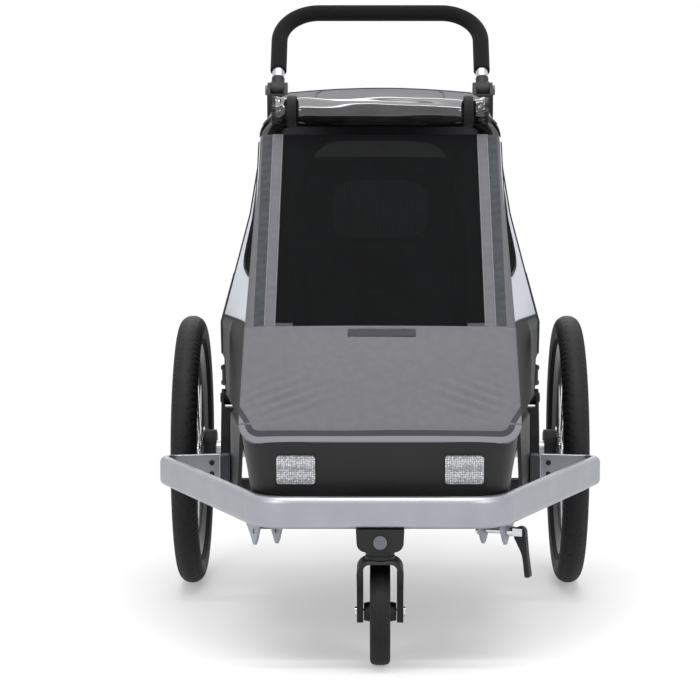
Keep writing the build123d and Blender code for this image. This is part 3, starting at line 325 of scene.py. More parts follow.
def inflate(obj, cap, voxel=0.005, pressure=4.0):
    """Swells a stuffed form as a cushion's cover swells.

    The skin is remeshed evenly, run as cloth for 20 frames under inner pressure and without
    gravity, and no point ends further than cap from where it began."""
    even = obj.modifiers.new("even", "REMESH")
    even.mode = "VOXEL"
    even.voxel_size = voxel
    settle(obj)
    start = coordinates(obj)
    stuffing = obj.modifiers.new("stuffing", "CLOTH")
    stuffing.settings.use_pressure = True
    stuffing.settings.uniform_pressure_force = pressure
    stuffing.settings.effector_weights.gravity = 0
    for step in range(1, 21):
        bpy.context.scene.frame_set(step)
    settle(obj)
    shift = coordinates(obj) - start
    far = np.linalg.norm(shift, axis=1)[:, None]
    move_points(obj, start + shift * np.minimum(1, cap / np.maximum(far, 1e-9)))
    bpy.context.scene.frame_set(1)
    refine(obj)
    weld(obj.data)
    return obj


# ---- finishes ---------------------------------------------------------------------------

def add(tree, kind, inputs=None, **settings):
    """Adds one node, with its settings, values and links."""
    made = tree.nodes.new(kind)
    for key, value in settings.items():
        setattr(made, key, value)
    for key, value in (inputs or {}).items():
        if isinstance(value, bpy.types.NodeSocket):
            tree.links.new(value, made.inputs[key])
        else:
            made.inputs[key].default_value = value
    return made


def arithmetic(tree, operation, first, second):
    """One arithmetic step on two values or sockets."""
    return add(tree, "ShaderNodeMath", {0: first, 1: second}, operation=operation).outputs["Value"]


def start(name, **sockets):
    """A new material with one Principled shader, whose plain sockets are set directly."""
    material = bpy.data.materials.new(name)
    material.use_nodes = True
    tree = material.node_tree
    shader = tree.nodes["Principled BSDF"]
    for key, value in sockets.items():
        shader.inputs[key.replace("_", " ")].default_value = value
    return material, tree, shader


def place_of(tree, kind="Object"):
    """The surface's place: Object coordinates, or its cloth map in metres."""
    if kind == "cloth":
        return add(tree, "ShaderNodeUVMap", uv_map="cloth").outputs["UV"]
    return add(tree, "ShaderNodeTexCoord").outputs["Object"]


def mottled(tree, place, size, dark, light, detail=4.0):
    """A colour that wanders between two shades over a size in metres."""
    noise = add(tree, "ShaderNodeTexNoise", {"Vector": place, "Scale": 1 / size, "Detail": detail})
    ramp = add(tree, "ShaderNodeValToRGB", {"Fac": noise.outputs["Fac"]})
    ramp.color_ramp.elements[0].position = 0.35
    ramp.color_ramp.elements[1].position = 0.65
    ramp.color_ramp.elements[0].color = (*dark, 1)
    ramp.color_ramp.elements[1].color = (*light, 1)
    return ramp.outputs["Color"]


def shade(colour, factor):
    """A colour made lighter or darker."""
    return [min(1.0, c * factor) for c in colour]


def tint(tree, shader, place, size, colour, darker, lighter, *detail):
    """Gives a shader a base colour that drifts between a darker and a lighter shade."""
    drift = mottled(tree, place, size, shade(colour, darker), shade(colour, lighter), *detail)
    tree.links.new(drift, shader.inputs["Base Color"])


def bump(tree, height, distance, strength=1.0, under=None):
    """Relief from a height pattern, over another if one is given."""
    inputs = {"Height": height, "Distance": distance, "Strength": strength}
    if under is not None:
        inputs["Normal"] = under
    return add(tree, "ShaderNodeBump", inputs).outputs["Normal"]


def fine_noise(tree, place, size, detail=2.0):
    """Grain of a size in metres."""
    return add(
        tree, "ShaderNodeTexNoise", {"Vector": place, "Scale": 1 / size, "Detail": detail},
    ).outputs["Fac"]


def bands(tree, place, pitch, direction):
    """Ribs of a pitch in metres; Blender's wave repeats each 2 pi / 20 over its scale."""
    return add(
        tree, "ShaderNodeTexWave", {"Vector": place, "Scale": math.pi / (10 * pitch)},
        wave_type="BANDS", bands_direction=direction,
    ).outputs["Fac"]


def moulded(name, colour, grain=0.0009, depth=0.00006, roughness=0.5, spread=0.12):
    """Injection-moulded plastic: spark-eroded grain, faint flow shading, semi-matt."""
    material, tree, shader = start(name, Roughness=roughness, Specular_IOR_Level=0.35)
    place = place_of(tree)
    tint(tree, shader, place, 0.05, colour, 1 - spread, 1 + spread)
    tree.links.new(bump(tree, fine_noise(tree, place, grain), depth), shader.inputs["Normal"])
    return material


def coated(name, colour, roughness=0.42):
    """Powder coat over tube: an even colour with a slight orange peel and a soft gloss."""
    material, tree, shader = start(name, Roughness=roughness, Specular_IOR_Level=0.4)
    place = place_of(tree)
    tint(tree, shader, place, 0.04, colour, 0.9, 1.1)
    tree.links.new(
        bump(tree, fine_noise(tree, place, 0.0022), 0.00008, 0.6), shader.inputs["Normal"],
    )
    return material


def metal(name, colour, roughness, grain=0.0012, depth=0.00003, stretch=(1, 1, 1)):
    """Bare or anodised metal: a metallic base whose fine blasted or drawn grain blurs it."""
    material, tree, shader = start(name, Metallic=1.0)
    place = add(
        tree, "ShaderNodeMapping", {"Vector": place_of(tree), "Scale": stretch},
    ).outputs["Vector"]
    grain_out = fine_noise(tree, place, grain, 3.0)
    tint(tree, shader, place, 0.06, colour, 0.95, 1.04)
    span = add(
        tree,
        "ShaderNodeMapRange",
        {"Value": grain_out, "To Min": roughness * 0.85, "To Max": roughness * 1.15},
    )
    tree.links.new(span.outputs["Result"], shader.inputs["Roughness"])
    tree.links.new(bump(tree, grain_out, depth), shader.inputs["Normal"])
    return material


def woven(
    name,
    colour,
    roughness=0.82,
    pitch=WEAVE,
    depth=0.00012,
    sheen=0.1,
    spread=0.05,
    gloss=0.3,
    ribs=("X", "Y"),
):
    """Plain-woven polyester: warp and weft ribs, slubs, and a soft sheen at the edges; the valleys
    between the ribs get painted shade.
    """
    material, tree, shader = start(
        name, Roughness=roughness, Specular_IOR_Level=gloss, Sheen_Weight=sheen, Sheen_Roughness=0.5
    )
    cloth = place_of(tree, "cloth")
    height = None
    for direction in ribs:
        rib = bands(tree, cloth, pitch, direction)
        height = rib if height is None else arithmetic(tree, "MULTIPLY", height, rib)
    place = place_of(tree)
    body = mottled(tree, place, 0.012, shade(colour, 1 - spread), shade(colour, 1 + spread), 6.0)
    # Painted shade and highlight: the colour is darkened in the valleys between the ribs and
    # lightened a little on their crests.
    shadow = add(
        tree, "ShaderNodeMapRange", {"Value": height, "To Min": 0.82, "To Max": 1.08},
    ).outputs["Result"]
    rib_shaded = add(
        tree, "ShaderNodeVectorMath", {0: body, "Scale": shadow}, operation="SCALE",
    ).outputs["Vector"]
    tree.links.new(rib_shaded, shader.inputs["Base Color"])
    crease = bump(tree, fine_noise(tree, place, 0.02, 3.0), 0.0006, 0.35)
    tree.links.new(bump(tree, height, depth, 1.0, crease), shader.inputs["Normal"])
    return material


def zip_tape(name, colour):
    """Zip tape and coil under a flap: close cross ribs with a dull gloss."""
    return woven(name, colour, 0.6, 0.0026, 0.0004, 0.02, 0.2, ribs=("Y",))


def netting(name, colour):
    """Knitted insect mesh: dark threads with holes, which lets about a third of the light by."""
    material, tree, shader = start(name, Roughness=0.9, Specular_IOR_Level=0.12)
    cloth = place_of(tree, "cloth")
    holes = arithmetic(
        tree, "MULTIPLY", bands(tree, cloth, 0.0024, "X"), bands(tree, cloth, 0.0024, "Y"),
    )
    tint(tree, shader, place_of(tree), 0.05, colour, 0.8, 1.2)
    cover = add(
        tree, "ShaderNodeMapRange", {"Value": holes, "To Min": 0.76, "To Max": 0.42},
    ).outputs["Result"]
    tree.links.new(cover, shader.inputs["Alpha"])
    tree.links.new(bump(tree, holes, 0.0002), shader.inputs["Normal"])
    return material


def rubber(name, colour):
    """Vulcanised tyre rubber: matt black with a little bloom on its flanks."""
    material, tree, shader = start(name, Roughness=0.66, Specular_IOR_Level=0.3)
    place = place_of(tree)
    tint(tree, shader, place, 0.02, colour, 0.8, 1.35, 6.0)
    tree.links.new(bump(tree, fine_noise(tree, place, 0.0016), 0.00012), shader.inputs["Normal"])
    return material


def foam(name, colour):
    """Closed-cell foam: open-looking pits of about a millimetre, fully matt."""
    material, tree, shader = start(name, Roughness=0.92, Specular_IOR_Level=0.2, Sheen_Weight=0.03)
    place = place_of(tree)
    pits = add(
        tree, "ShaderNodeTexVoronoi", {"Vector": place, "Scale": 1 / 0.0018},
    ).outputs["Distance"]
    tint(tree, shader, place, 0.004, colour, 0.75, 1.3)
    tree.links.new(bump(tree, pits, 0.0003, 0.8), shader.inputs["Normal"])
    return material


def film(name, colour):
    """Soft clear vinyl in a tight roll: its many layers look black and very glossy."""
    material, tree, shader = start(
        name, IOR=1.53, Roughness=0.07, Coat_Weight=1.0, Coat_Roughness=0.03,
    )
    place = add(
        tree, "ShaderNodeMapping", {"Vector": place_of(tree), "Scale": (0.25, 1, 1)},
    ).outputs["Vector"]
    tint(tree, shader, place, 0.012, colour, 0.4, 1.9, 3.0)
    tree.links.new(
        bump(tree, fine_noise(tree, place, 0.018, 1.0), 0.002, 0.5), shader.inputs["Normal"],
    )
    return material


def prismatic(name, colour):
    """Clear reflector moulding: rows of small prisms behind a glossy face, with painted reflection
    and shade on each prism.
    """
    material, tree, shader = start(
        name, IOR=1.49, Roughness=0.16, Coat_Weight=1.0, Coat_Roughness=0.04,
    )
    cells = add(
        tree,
        "ShaderNodeTexVoronoi",
        {"Vector": place_of(tree), "Scale": 1 / 0.0034, "Randomness": 0.35},
    )
    # Painted reflection and shade: each prism cell is painted lighter at its middle and darker at
    # its rim.
    ramp = add(tree, "ShaderNodeValToRGB", {"Fac": cells.outputs["Distance"]})
    ramp.color_ramp.elements[0].position = 0.1
    ramp.color_ramp.elements[1].position = 0.6
    ramp.color_ramp.elements[0].color = (*shade(colour, 1.25), 1)
    ramp.color_ramp.elements[1].color = (*shade(colour, 0.3), 1)
    tree.links.new(ramp.outputs["Color"], shader.inputs["Base Color"])
    tree.links.new(bump(tree, cells.outputs["Distance"], 0.0012), shader.inputs["Normal"])
    return material


FINISHES = {
    "moulded_polypropylene": (moulded, "tub", {"roughness": 0.42}),
    "glass_filled_nylon": (moulded, "fittings", {"roughness": 0.55}),
    "grey_nylon": (moulded, "brackets", {}),
    "ribbed_pedal_plastic": (moulded, "fittings", {"grain": 0.002, "depth": 0.0002}),
    "gloss_button_plastic": (moulded, "buttons", {"roughness": 0.25}),
    "black_powder_coat": (coated, "tubes", {}),
    "black_anodised_rim": (coated, "rims", {"roughness": 0.26}),
    "grey_coated_plate": (coated, "hitch", {"roughness": 0.4}),
    "satin_anodised_aluminium": (metal, "bumper", {"roughness": 0.42}),
    "drawn_aluminium": (metal, "axle", {"roughness": 0.3, "stretch": (0.1, 1, 1)}),
    "polished_steel": (metal, "steel", {"roughness": 0.14}),
    "blackened_steel": (metal, "dark_steel", {"roughness": 0.38}),
    "prismatic_acrylic": (prismatic, "reflector", {}),
    "tyre_rubber": (rubber, "tyre", {}),
    "closed_cell_foam": (foam, "foam", {}),
    "coated_apron_polyester": (woven, "apron", {"sheen": 0.08}),
    "border_polyester": (woven, "border", {"sheen": 0.08}),
    "binding_tape": (woven, "binding", {"pitch": 0.0022}),
    "dark_binding_tape": (woven, "dark_tape", {"pitch": 0.0022}),
    "zip_tape": (zip_tape, "zip", {}),
    "insect_mesh": (netting, "mesh", {}),
    "roof_polyester": (woven, "roof", {}),
    "light_side_polyester": (woven, "side", {"sheen": 0.05, "roughness": 0.7, "spread": 0.04}),
    "dark_guard_polyester": (woven, "guard", {}),
    "seat_polyester": (woven, "seat", {"pitch": 0.0028, "depth": 0.0003, "roughness": 0.9}),
    "head_rest_polyester": (woven, "head_rest", {"pitch": 0.0028, "depth": 0.0003}),
    "nylon_webbing": (woven, "webbing", {"pitch": 0.002, "depth": 0.0003, "ribs": ("Y",)}),
    "bag_polyester": (woven, "bag", {}),
    "coated_foot_polyester": (woven, "webbing", {"roughness": 0.6, "gloss": 0.2, "sheen": 0.0}),
    "rolled_vinyl": (film, "film", {}),
    "rolled_hem": (woven, "webbing", {"roughness": 0.5, "gloss": 0.4}),
}


def finish(name):
    """A finish by name, made when it is first asked for in the colour the settings give."""
    found = bpy.data.materials.get(name)
    if found is None:
        make, colour, options = FINISHES[name]
        found = make(name, list(getattr(bpy.context.scene.trailer_colours, colour)), **options)
    return found


def wear(obj, *names):
    """Puts finishes in an object's material slots, in order."""
    slots = obj.data.materials
    for place, name in enumerate(names):
        if place < len(slots):
            slots[place] = finish(name)
        else:
            slots.append(finish(name))
    return obj


def hand_over(obj, body, slot, *nodes):
    """Makes a piece ride a body and stand for CAD nodes, whose parts it hides; the slot is not
    used.
    """
    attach(obj, body)
    if nodes:
        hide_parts(*nodes)
    return obj


def gather(axis, anchor, keep, *pieces):
    """Gives each piece its own copy of its mesh; the axis and anchor are not used."""
    for piece in pieces:
        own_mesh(piece)


def press_back(*pieces):
    """Gives the back pad and what lies on it their own meshes."""
    gather(LEGS.out, LEGS.at(0.0, 0.3, LEG_TUBE / 2), 0.42, *pieces)


def press_seat(*pieces):
    """Gives the cushion and what lies on it their own meshes."""
    gather((0, 0, 1), low("seat_cushion"), 0.42, *pieces)


# ---- settings ---------------------------------------------------------------------------

def colour_setting(label, hexa):
    """A colour property with its default as sRGB hex."""
    return bpy.props.FloatVectorProperty(
        name=label, description=f"Colour of the {label.lower()}", subtype="COLOR",
        size=3, min=0, max=1, default=linear(hexa),
    )


def size_setting(label, metres, why):
    """A length property."""
    return bpy.props.FloatProperty(
        name=label, description=why, default=metres, unit="LENGTH", subtype="DISTANCE",
    )


class TrailerColours(bpy.types.PropertyGroup):
    """The colours of the trailer's finishes."""

    tub: colour_setting("Tub", "#141415")
    fittings: colour_setting("Fittings", "#101012")
    brackets: colour_setting("Brackets", "#303237")
    buttons: colour_setting("Buttons", "#5f6269")
    tubes: colour_setting("Frame tubes", "#0e0e10")
    rims: colour_setting("Rims", "#0c0c0e")
    hitch: colour_setting("Hitch plates", "#8f9299")
    bumper: colour_setting("Bumper", "#a2a5ab")
    axle: colour_setting("Axle tube", "#c4c6cb")
    steel: colour_setting("Bright steel", "#cfd0d3")
    dark_steel: colour_setting("Screws", "#3a3b40")
    reflector: colour_setting("Reflectors", "#c9cbd0")
    tyre: colour_setting("Tyres", "#0d0d0e")
    foam: colour_setting("Grip foam", "#090909")
    apron: colour_setting("Apron", "#626166")
    border: colour_setting("Window border", "#5f5e64")
    binding: colour_setting("Light binding", "#727177")
    dark_tape: colour_setting("Dark tape", "#34333a")
    zip: colour_setting("Zips", "#2c2f34")
    mesh: colour_setting("Window mesh", "#060708")
    roof: colour_setting("Roof", "#59585d")
    side: colour_setting("Side panels", "#d6d8e2")
    guard: colour_setting("Side guards", "#313336")
    seat: colour_setting("Seat", "#26262a")
    head_rest: colour_setting("Head rest", "#b4b5ba")
    webbing: colour_setting("Webbing", "#0b0b0d")
    bag: colour_setting("Luggage bag", "#1d1d20")
    film: colour_setting("Rolled film", "#1a1a1c")
    floor: colour_setting("Floor", "#f2f2f2")


class TrailerSizes(bpy.types.PropertyGroup):
    """The sizes of the trailer's soft parts."""

    border: size_setting("Window border", 0.0165, "Width of the grey strip beside the mesh")
    zip: size_setting("Window zip", 0.018, "Width of the dark zip strip")
    flare: size_setting(
        "Window flare", 0.0105, "How much wider the window's outer edge is at its foot",
    )
    sag: size_setting("Mesh sag", 0.004, "How far the mesh hangs in at its middle")
    puff: size_setting("Apron crown", 0.006, "How far the apron's middle stands proud")
    roof_crown: size_setting("Roof crown", 0.010, "How far the roof rises over its middle")
    pad_swell: size_setting("Pad swell", 0.006, "The most that a pad's cover swells")
    tread: size_setting("Tread depth", 0.0012, "Depth of the tyre's grooves")


# ---- window, apron and rolled cover -----------------------------------------------------

class TRAILER_OT_window(bpy.types.Operator):
    """The mesh window with its grey border and zips, stretched over the hoop"""

    bl_idname = "trailer.window"
    bl_label = "Window"

    def execute(self, context):
        """Columns run from side to side in strips: edge, zip, border, mesh and back.

        The offset from the hoop's plane is a constant, plus cross wrinkles on the zips, a
        puff between a strip's seams, and the mesh's sag as a product of two parabolas."""
        sizes = context.scene.trailer_sizes
        half = (high("window_mesh")[0] - low("window_mesh")[0]) / 2
        first = ((low("window_mesh") - HOOP.pivot) * [0, 1, 1]) @ HOOP.along
        last = HOOP.length - 0.051
        zip_out = half - 0.0025
        zip_in = zip_out - sizes.zip
        strips = [zip_in - sizes.border, zip_in, zip_out, half + 0.0025]
        right = np.concatenate([
            np.linspace(begin, end, count, endpoint=False)
            for begin, end, count in zip([0, *strips], strips, (22, 8, 8, 4))
        ] + [strips[3:]])
        across = np.concatenate([-right[:0:-1], right])[None, :]
        rows = 150
        reach = np.linspace(first, last, rows)[:, None]
        size = np.abs(across)
        share = (reach - first) / (last - first)
        offset = ON_HOOP + 0.0022
        strip_in = smooth(size, strips[0], strips[0] + 0.003)
        strip_in = strip_in * (1 - smooth(size, strips[1] - 0.003, strips[1]))
        on_zip = smooth(size, strips[1], strips[1] + 0.002)
        on_zip = on_zip * (1 - smooth(size, strips[2] - 0.002, strips[2]))
        offset = offset + 0.0014 * strip_in
        offset = offset + 0.0008 * strip_in * ripples(across * 0.3, reach, 3, size=0.03)
        offset = offset + on_zip * (-0.0006 + 0.0009 * ripples(across * 0.4, reach, 5, size=0.016))
        inside = np.clip(1 - (size / strips[0]) ** 2, 0, 1) * np.clip(4 * share * (1 - share), 0, 1)
        offset = offset - sizes.sag * inside + 0.0009 * inside * ripples(
            across, reach, 8, size=0.09,
        )
        offset = offset - smooth(size, strips[2], strips[3]) * 0.016
        outer = np.clip((size - strips[2]) / (strips[3] - strips[2]), 0, 1)
        spread = sizes.flare * outer * (1 - share)
        points = HOOP.at(across + np.sign(across) * spread, reach, offset)
        middle = (size[:, 1:] + size[:, :-1]) / 2
        zone = np.select([middle < strips[0], middle < strips[1], middle < strips[2]], [0, 1, 2], 1)
        zone = np.where(np.arange(rows - 1)[:, None] < 2, 1, zone)
        cloth = np.stack(np.broadcast_arrays(across, reach), -1)
        obj = surface("window", points, zones=zone, cloth=cloth)
        thicken(obj, 0.0012)
        wear(obj, "insect_mesh", "border_polyester", "zip_tape")
        hand_over(obj, "front_hoop", "mesh", "window_mesh")
        edges = []
        for side in (-1, 1):
            for place in (strips[0], strips[1]):
                run = np.linspace(first + 0.004, last, 120)
                path = HOOP.at(side * place, run, ON_HOOP + 0.0026)
                edges.append(sweep("window_seam", path, round_profile(0.0011, 6), ACROSS))
        seams = join("window_seams", edges)
        wear(seams, "binding_tape")
        hand_over(seams, "front_hoop", "mesh")
        gather(HOOP.along, HOOP.at(0.0, first, 0.0), 0.12, obj, seams)
        return {"FINISHED"}


class TRAILER_OT_apron(bpy.types.Operator):
    """The padded front cover with its zip stripe, binding and hook patch"""

    bl_idname = "trailer.apron"
    bl_label = "Apron"

    def execute(self, context):
        """Each row's half width follows the outline, with a quarter circle at each foot.

        The offset from the hoop's plane crowns as a parabola across, rolls in at the foot,
        and creases in slanting lines near the lower corners."""
        sizes = context.scene.trailer_sizes
        half = (high("front_apron")[0] - low("front_apron")[0]) / 2 + 0.004
        first, last = -0.0525, 0.1915
        corner = 0.034
        rows, columns = 130, 150
        turn = np.linspace(0, math.pi / 2, 26)
        foot = first + corner * (1 - np.cos(turn))
        reach = np.concatenate([foot[:-1], np.linspace(first + corner, last, rows - 25)])[:, None]
        below = np.clip(first + corner - reach, 0, corner)
        flare = half - 0.001 * smooth(reach, first, last)
        width = flare - corner + np.sqrt(np.maximum(corner ** 2 - below ** 2, 0))
        share = np.linspace(-1, 1, columns)[None, :]
        across = share * width
        foot_fade = smooth(reach, first, first + 0.03)
        side_fade = 1 - np.abs(share) ** 6
        crown = sizes.puff * (1 - share ** 2) * smooth(reach, first, 0.09)
        crown = crown * (1 - 0.7 * smooth(reach, 0.12, last))
        slant = np.exp(-((np.abs(across) - 0.15) / 0.05) ** 2 - ((reach - 0.03) / 0.035) ** 2)
        crease = 0.0016 * slant * np.sin((reach + np.abs(across) * 0.45) * 2 * math.pi / 0.021)
        wave = 0.0008 * ripples(across, reach, 11, size=0.14) * foot_fade * side_fade
        offset = ON_HOOP + 0.0066 - 0.006 * (1 - foot_fade) - 0.004 * (1 - side_fade)
        offset = offset + crown + crease + wave
        points = HOOP.at(across, reach, offset)
        inner = np.maximum(np.abs(across) - (flare - corner), 0)
        drop = np.maximum(first + corner - reach, 0)
        edge = np.where((inner > 0) & (drop > 0), corner - np.hypot(inner, drop), reach - first)
        side_edge = flare - np.abs(across) + np.maximum(reach - first - corner, 0) * 0.5
        edge = np.where(reach > first + corner, np.minimum(edge, side_edge), edge)
        cloth = np.stack(np.broadcast_arrays(across, reach), -1)
        tags = {"edge": np.broadcast_to(edge, points.shape[:2])}
        obj = surface("apron", points, cloth=cloth, tags=tags)
        thicken(obj, 0.006)
        wear(obj, "coated_apron_polyester")
        self.stripe(obj.data.materials[0], context)
        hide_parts("front_apron")
        self.cross_joint(obj)
        patch_rows = np.linspace(0.1655, 0.1835, 8)[:, None]
        patch_columns = np.linspace(-0.052, 0.057, 40)[None, :]
        loops = 0.0003 * ripples(patch_columns, patch_rows, 4, size=0.01)
        face = surface(
            "hook_patch", HOOP.at(patch_columns, patch_rows, ON_HOOP + 0.010 + loops),
            cloth=np.stack(np.broadcast_arrays(patch_columns, patch_rows), -1),
        )
        thicken(face, 0.0035)
        wear(face, "dark_binding_tape")
        self.cross_joint(face)
        return {"FINISHED"}

    def cross_joint(self, obj):
        """Bakes the piece's transform into its mesh."""
        foot = HOOP.at(0.0, -0.035, 0.0)
        head = HOOP.at(0.0, 0.06, 0.0)
        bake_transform(obj)

    def stripe(self, material, context):
        """Adds the sewn bands to the cover's finish, by distance from its edge."""
        tree = material.node_tree
        shader = tree.nodes["Principled BSDF"]
        body = shader.inputs["Base Color"].links[0].from_socket
        edge = add(tree, "ShaderNodeAttribute", attribute_name="edge").outputs["Fac"]
        colours = context.scene.trailer_colours
        tapes = (
            (0, 0.010, colours.binding),
            (0.010, 0.0185, colours.dark_tape),
            (0.0185, 0.0195, colours.zip),
        )
        for begin, stop, colour in tapes:
            after = arithmetic(tree, "GREATER_THAN", edge, begin)
            before = arithmetic(tree, "LESS_THAN", edge, stop)
            mix = {
                "Fac": arithmetic(tree, "MULTIPLY", after, before),
                "Color1": body,
                "Color2": (*colour, 1),
            }
            body = add(tree, "ShaderNodeMixRGB", mix).outputs["Color"]
        tree.links.new(body, shader.inputs["Base Color"])


class TRAILER_OT_rain_roll(bpy.types.Operator):
    """The rolled clear rain cover and the two straps that tie it"""

    bl_idname = "trailer.rain_roll"
    bl_label = "Rolled rain cover"

    def execute(self, context):
        """The roll's radius falls by a film's step each turn, as a spiral's does.

        Long ripples run along it, and it is drawn in under each strap and crumples towards
        its ends, where a dark hem shows."""
        base_low, base_high = low("rain_roll"), high("rain_roll")
        middle = (base_low + base_high) / 2
        radius = (base_high[2] - base_low[2]) / 2
        half = base_high[0]
        strap = high("roll_straps")[0] - 0.008
        across = np.linspace(-half, half, 220)[:, None]
        turn = np.linspace(0, 2 * math.pi, 97)[None, :]
        step = 0.0035 * (turn / (2 * math.pi))
        tied = sum(np.exp(-((across - s * strap) / 0.012) ** 2) for s in (-1, 1))
        ends = smooth(np.abs(across), strap + 0.006, half)
        loop = np.sin(turn / 2) ** 2
        wander = ripples(across * 0.35, radius * np.sin(turn) + 0.4, 21, size=0.035) * loop
        crumple = ripples(across, radius * np.cos(turn) * 2, 23, size=0.014) * loop
        size = radius - 0.0048 - step * (0.3 + 0.7 * loop)
        size = size + 0.0022 * wander - 0.0042 * tied + 0.0022 * ends * crumple
        heading = turn - 0.9
        y = middle[1] + size * np.cos(heading) * 1.02
        z = middle[2] + size * np.sin(heading)
        points = np.stack(np.broadcast_arrays(across, y, z), -1)
        core = np.stack(np.broadcast_arrays(across[:1], middle[1], middle[2]), -1)
        first = np.repeat(core, points.shape[1], 1)
        last = first * [-1, 1, 1]
        grid = np.concatenate([first, points, last])
        place = np.concatenate([across[:1], across, across[-1:]])
        centre = (place[1:] + place[:-1]) / 2
        zone = np.repeat(np.where(np.abs(centre) > half - 0.007, 1, 0), turn.size - 1, 1)
        cloth = np.stack(np.broadcast_arrays(place, turn * radius), -1)
        roll = surface("rolled_cover", grid, zones=zone, cloth=cloth)
        weld(roll.data, outward=True)
        wear(roll, "rolled_vinyl", "rolled_hem")
        hand_over(roll, "front_hoop", "clear_film", "rain_roll")
        bandings = []
        for s in (-1, 1):
            around = np.linspace(0, 2 * math.pi, 72, endpoint=False)
            ring = radius + 0.0006 - 0.003 * np.sin(around) ** 8
            y, z = middle[1] + ring * np.cos(around), middle[2] + ring * np.sin(around)
            path = np.stack([np.full(72, s * strap), y, z], -1)
            bandings.append(sweep("strap", path, flat_profile(0.016, 0.0018), ACROSS, closed=True))
        straps = join("roll_ties", bandings)
        wear(straps, "nylon_webbing")
        hand_over(straps, "front_hoop", "webbing", "roll_straps")
        return {"FINISHED"}


# ---- roof, sides and back ---------------------------------------------------------------

class TRAILER_OT_roof(bpy.types.Operator):
    """The roof canopy from the hoop to the rear frame's bar, with its side flaps"""

    bl_idname = "trailer.roof"
    bl_label = "Roof canopy"

    def execute(self, context):
        """One sheet: a straight run from hoop to bar, crowned across, whose edges roll down.

        Rows go back along the trailer; the crown is a parabola, the sag between the two bars
        a shallow one the other way, and the side flaps turn down by a quarter circle."""
        sizes = context.scene.trailer_sizes
        box_low, box_high = low("roof_cover"), high("roof_cover")
        front_y, rear_y = box_low[1] + 0.004, box_high[1] - 0.001
        front_z = HOOP.pivot[2] + HOOP.length * HOOP.along[2] + HOOP_TUBE / 2 + 0.0016
        rear_z = box_high[2] - 0.0012
        half = box_high[0] + 0.004
        rows, columns = 90, 120
        share = np.linspace(0, 1, rows)[:, None]
        u = np.linspace(-1, 1, columns)[None, :]
        narrow = half - 0.02 * smooth(share, 0.86, 1.0)
        turned = np.clip((np.abs(u) - 0.86) / 0.14, 0, 1) * math.pi / 2
        front = 1 - smooth(share, 0.30, 0.85)
        reach_out = (0.2142 - 0.86 * narrow) * front + 0.14 * narrow * (1 - front)
        x = np.sign(u) * (np.minimum(np.abs(u), 0.86) * narrow + reach_out * np.sin(turned))
        rise = sizes.roof_crown * (1 - u ** 2) * (0.35 + 0.65 * share)
        sag = -0.006 * 4 * share * (1 - share)
        flap = -(0.010 + 0.030 * front) * (1 - np.cos(turned)) * (1 - smooth(share, 0.86, 1.0))
        y = front_y + (rear_y - front_y) * share
        z = front_z + (rear_z - front_z) * share + rise + sag + flap
        z = z + 0.0008 * ripples(x, y, 31, size=0.1) * np.sin(math.pi * share)
        points = np.stack(np.broadcast_arrays(x, y, z), -1)
        cloth = np.stack(np.broadcast_arrays(x, y), -1)
        canopy = surface("roof_canopy", points, cloth=cloth)
        thicken(canopy, 0.0016)
        wear(canopy, "roof_polyester")
        hand_over(canopy, "chassis", "roof_fabric", "roof_cover")
        paths = []
        for line in (-0.62, 0.62):
            column = int(round((line + 1) / 2 * (columns - 1)))
            paths.append(points[2:-2, column] + [0, 0, 0.0004])
        paths.append(points[1, 3:-3] + [0, 0, 0.0004])
        paths.append(points[-3, 3:-3] + [0, 0, 0.0004])
        cord = round_profile(0.0014, 6)
        seams = join("roof_seams", [sweep("seam", path, cord, (0, 0, 1)) for path in paths])
        wear(seams, "dark_binding_tape")
        hand_over(seams, "chassis", "roof_fabric")
        gather((0, 0, 1), LEGS.pivot, 0.05, canopy, seams)
        return {"FINISHED"}


def side_surface(side, p, q, lift=0.0):
    """Points on a side of the cabin: p runs from the hoop to the rear leg, q from foot to top.

    The rows are straight from the hoop to just outside the rear leg; the cloth hangs in by
    a product of two parabolas with long folds, and its foot drops to the tub's rim."""
    front_reach = 0.016 + q * (HOOP.length - 0.068)
    rear_reach = 0.080 + q * 0.462
    front = HOOP.at(0.2118, front_reach, 0.0)
    leg_x = np.interp(rear_reach, LEG_REACH, LEG_X) + LEG_TUBE / 2 + 0.002
    rear = LEGS.at(leg_x, rear_reach, LEG_TUBE / 2 + 0.003)
    points = front + (rear - front) * p[..., None]
    points[..., 0] += lift - 0.16 * p * (1 - p) * q * (1 - q)
    points[..., 0] += 0.0013 * ripples(p * 0.4, q * 0.5, 41 + side, size=0.16) * np.sin(math.pi * p)
    foot = np.clip(1 - q / 0.08, 0, 1) * smooth(p, 0.0, 0.06) * (1 - smooth(p, 0.82, 0.92))
    points[..., 2] -= foot * np.maximum(points[..., 2] - high("floor_tub")[2] - 0.004, 0)
    points[..., 0] *= side
    return points


def light_foot(p):
    """Where the light cloth ends above the dark foot, as a share of the height."""
    return 0.29 - 0.12 * p


def in_window(window, along, up, exponent):
    """Whether places on a panel lie inside a window's superellipse."""
    (middle, half), (middle_up, half_up) = window
    along_part = np.abs((along - middle) / half) ** exponent
    return along_part + np.abs((up - middle_up) / half_up) ** exponent < 1


def window_rim(window, turn, exponent):
    """The superellipse round a window, as two arrays of places on the panel."""
    (middle, half), (middle_up, half_up) = window
    rim_up = middle_up + half_up * power(np.sin(turn), exponent)
    return middle + half * power(np.cos(turn), exponent), rim_up


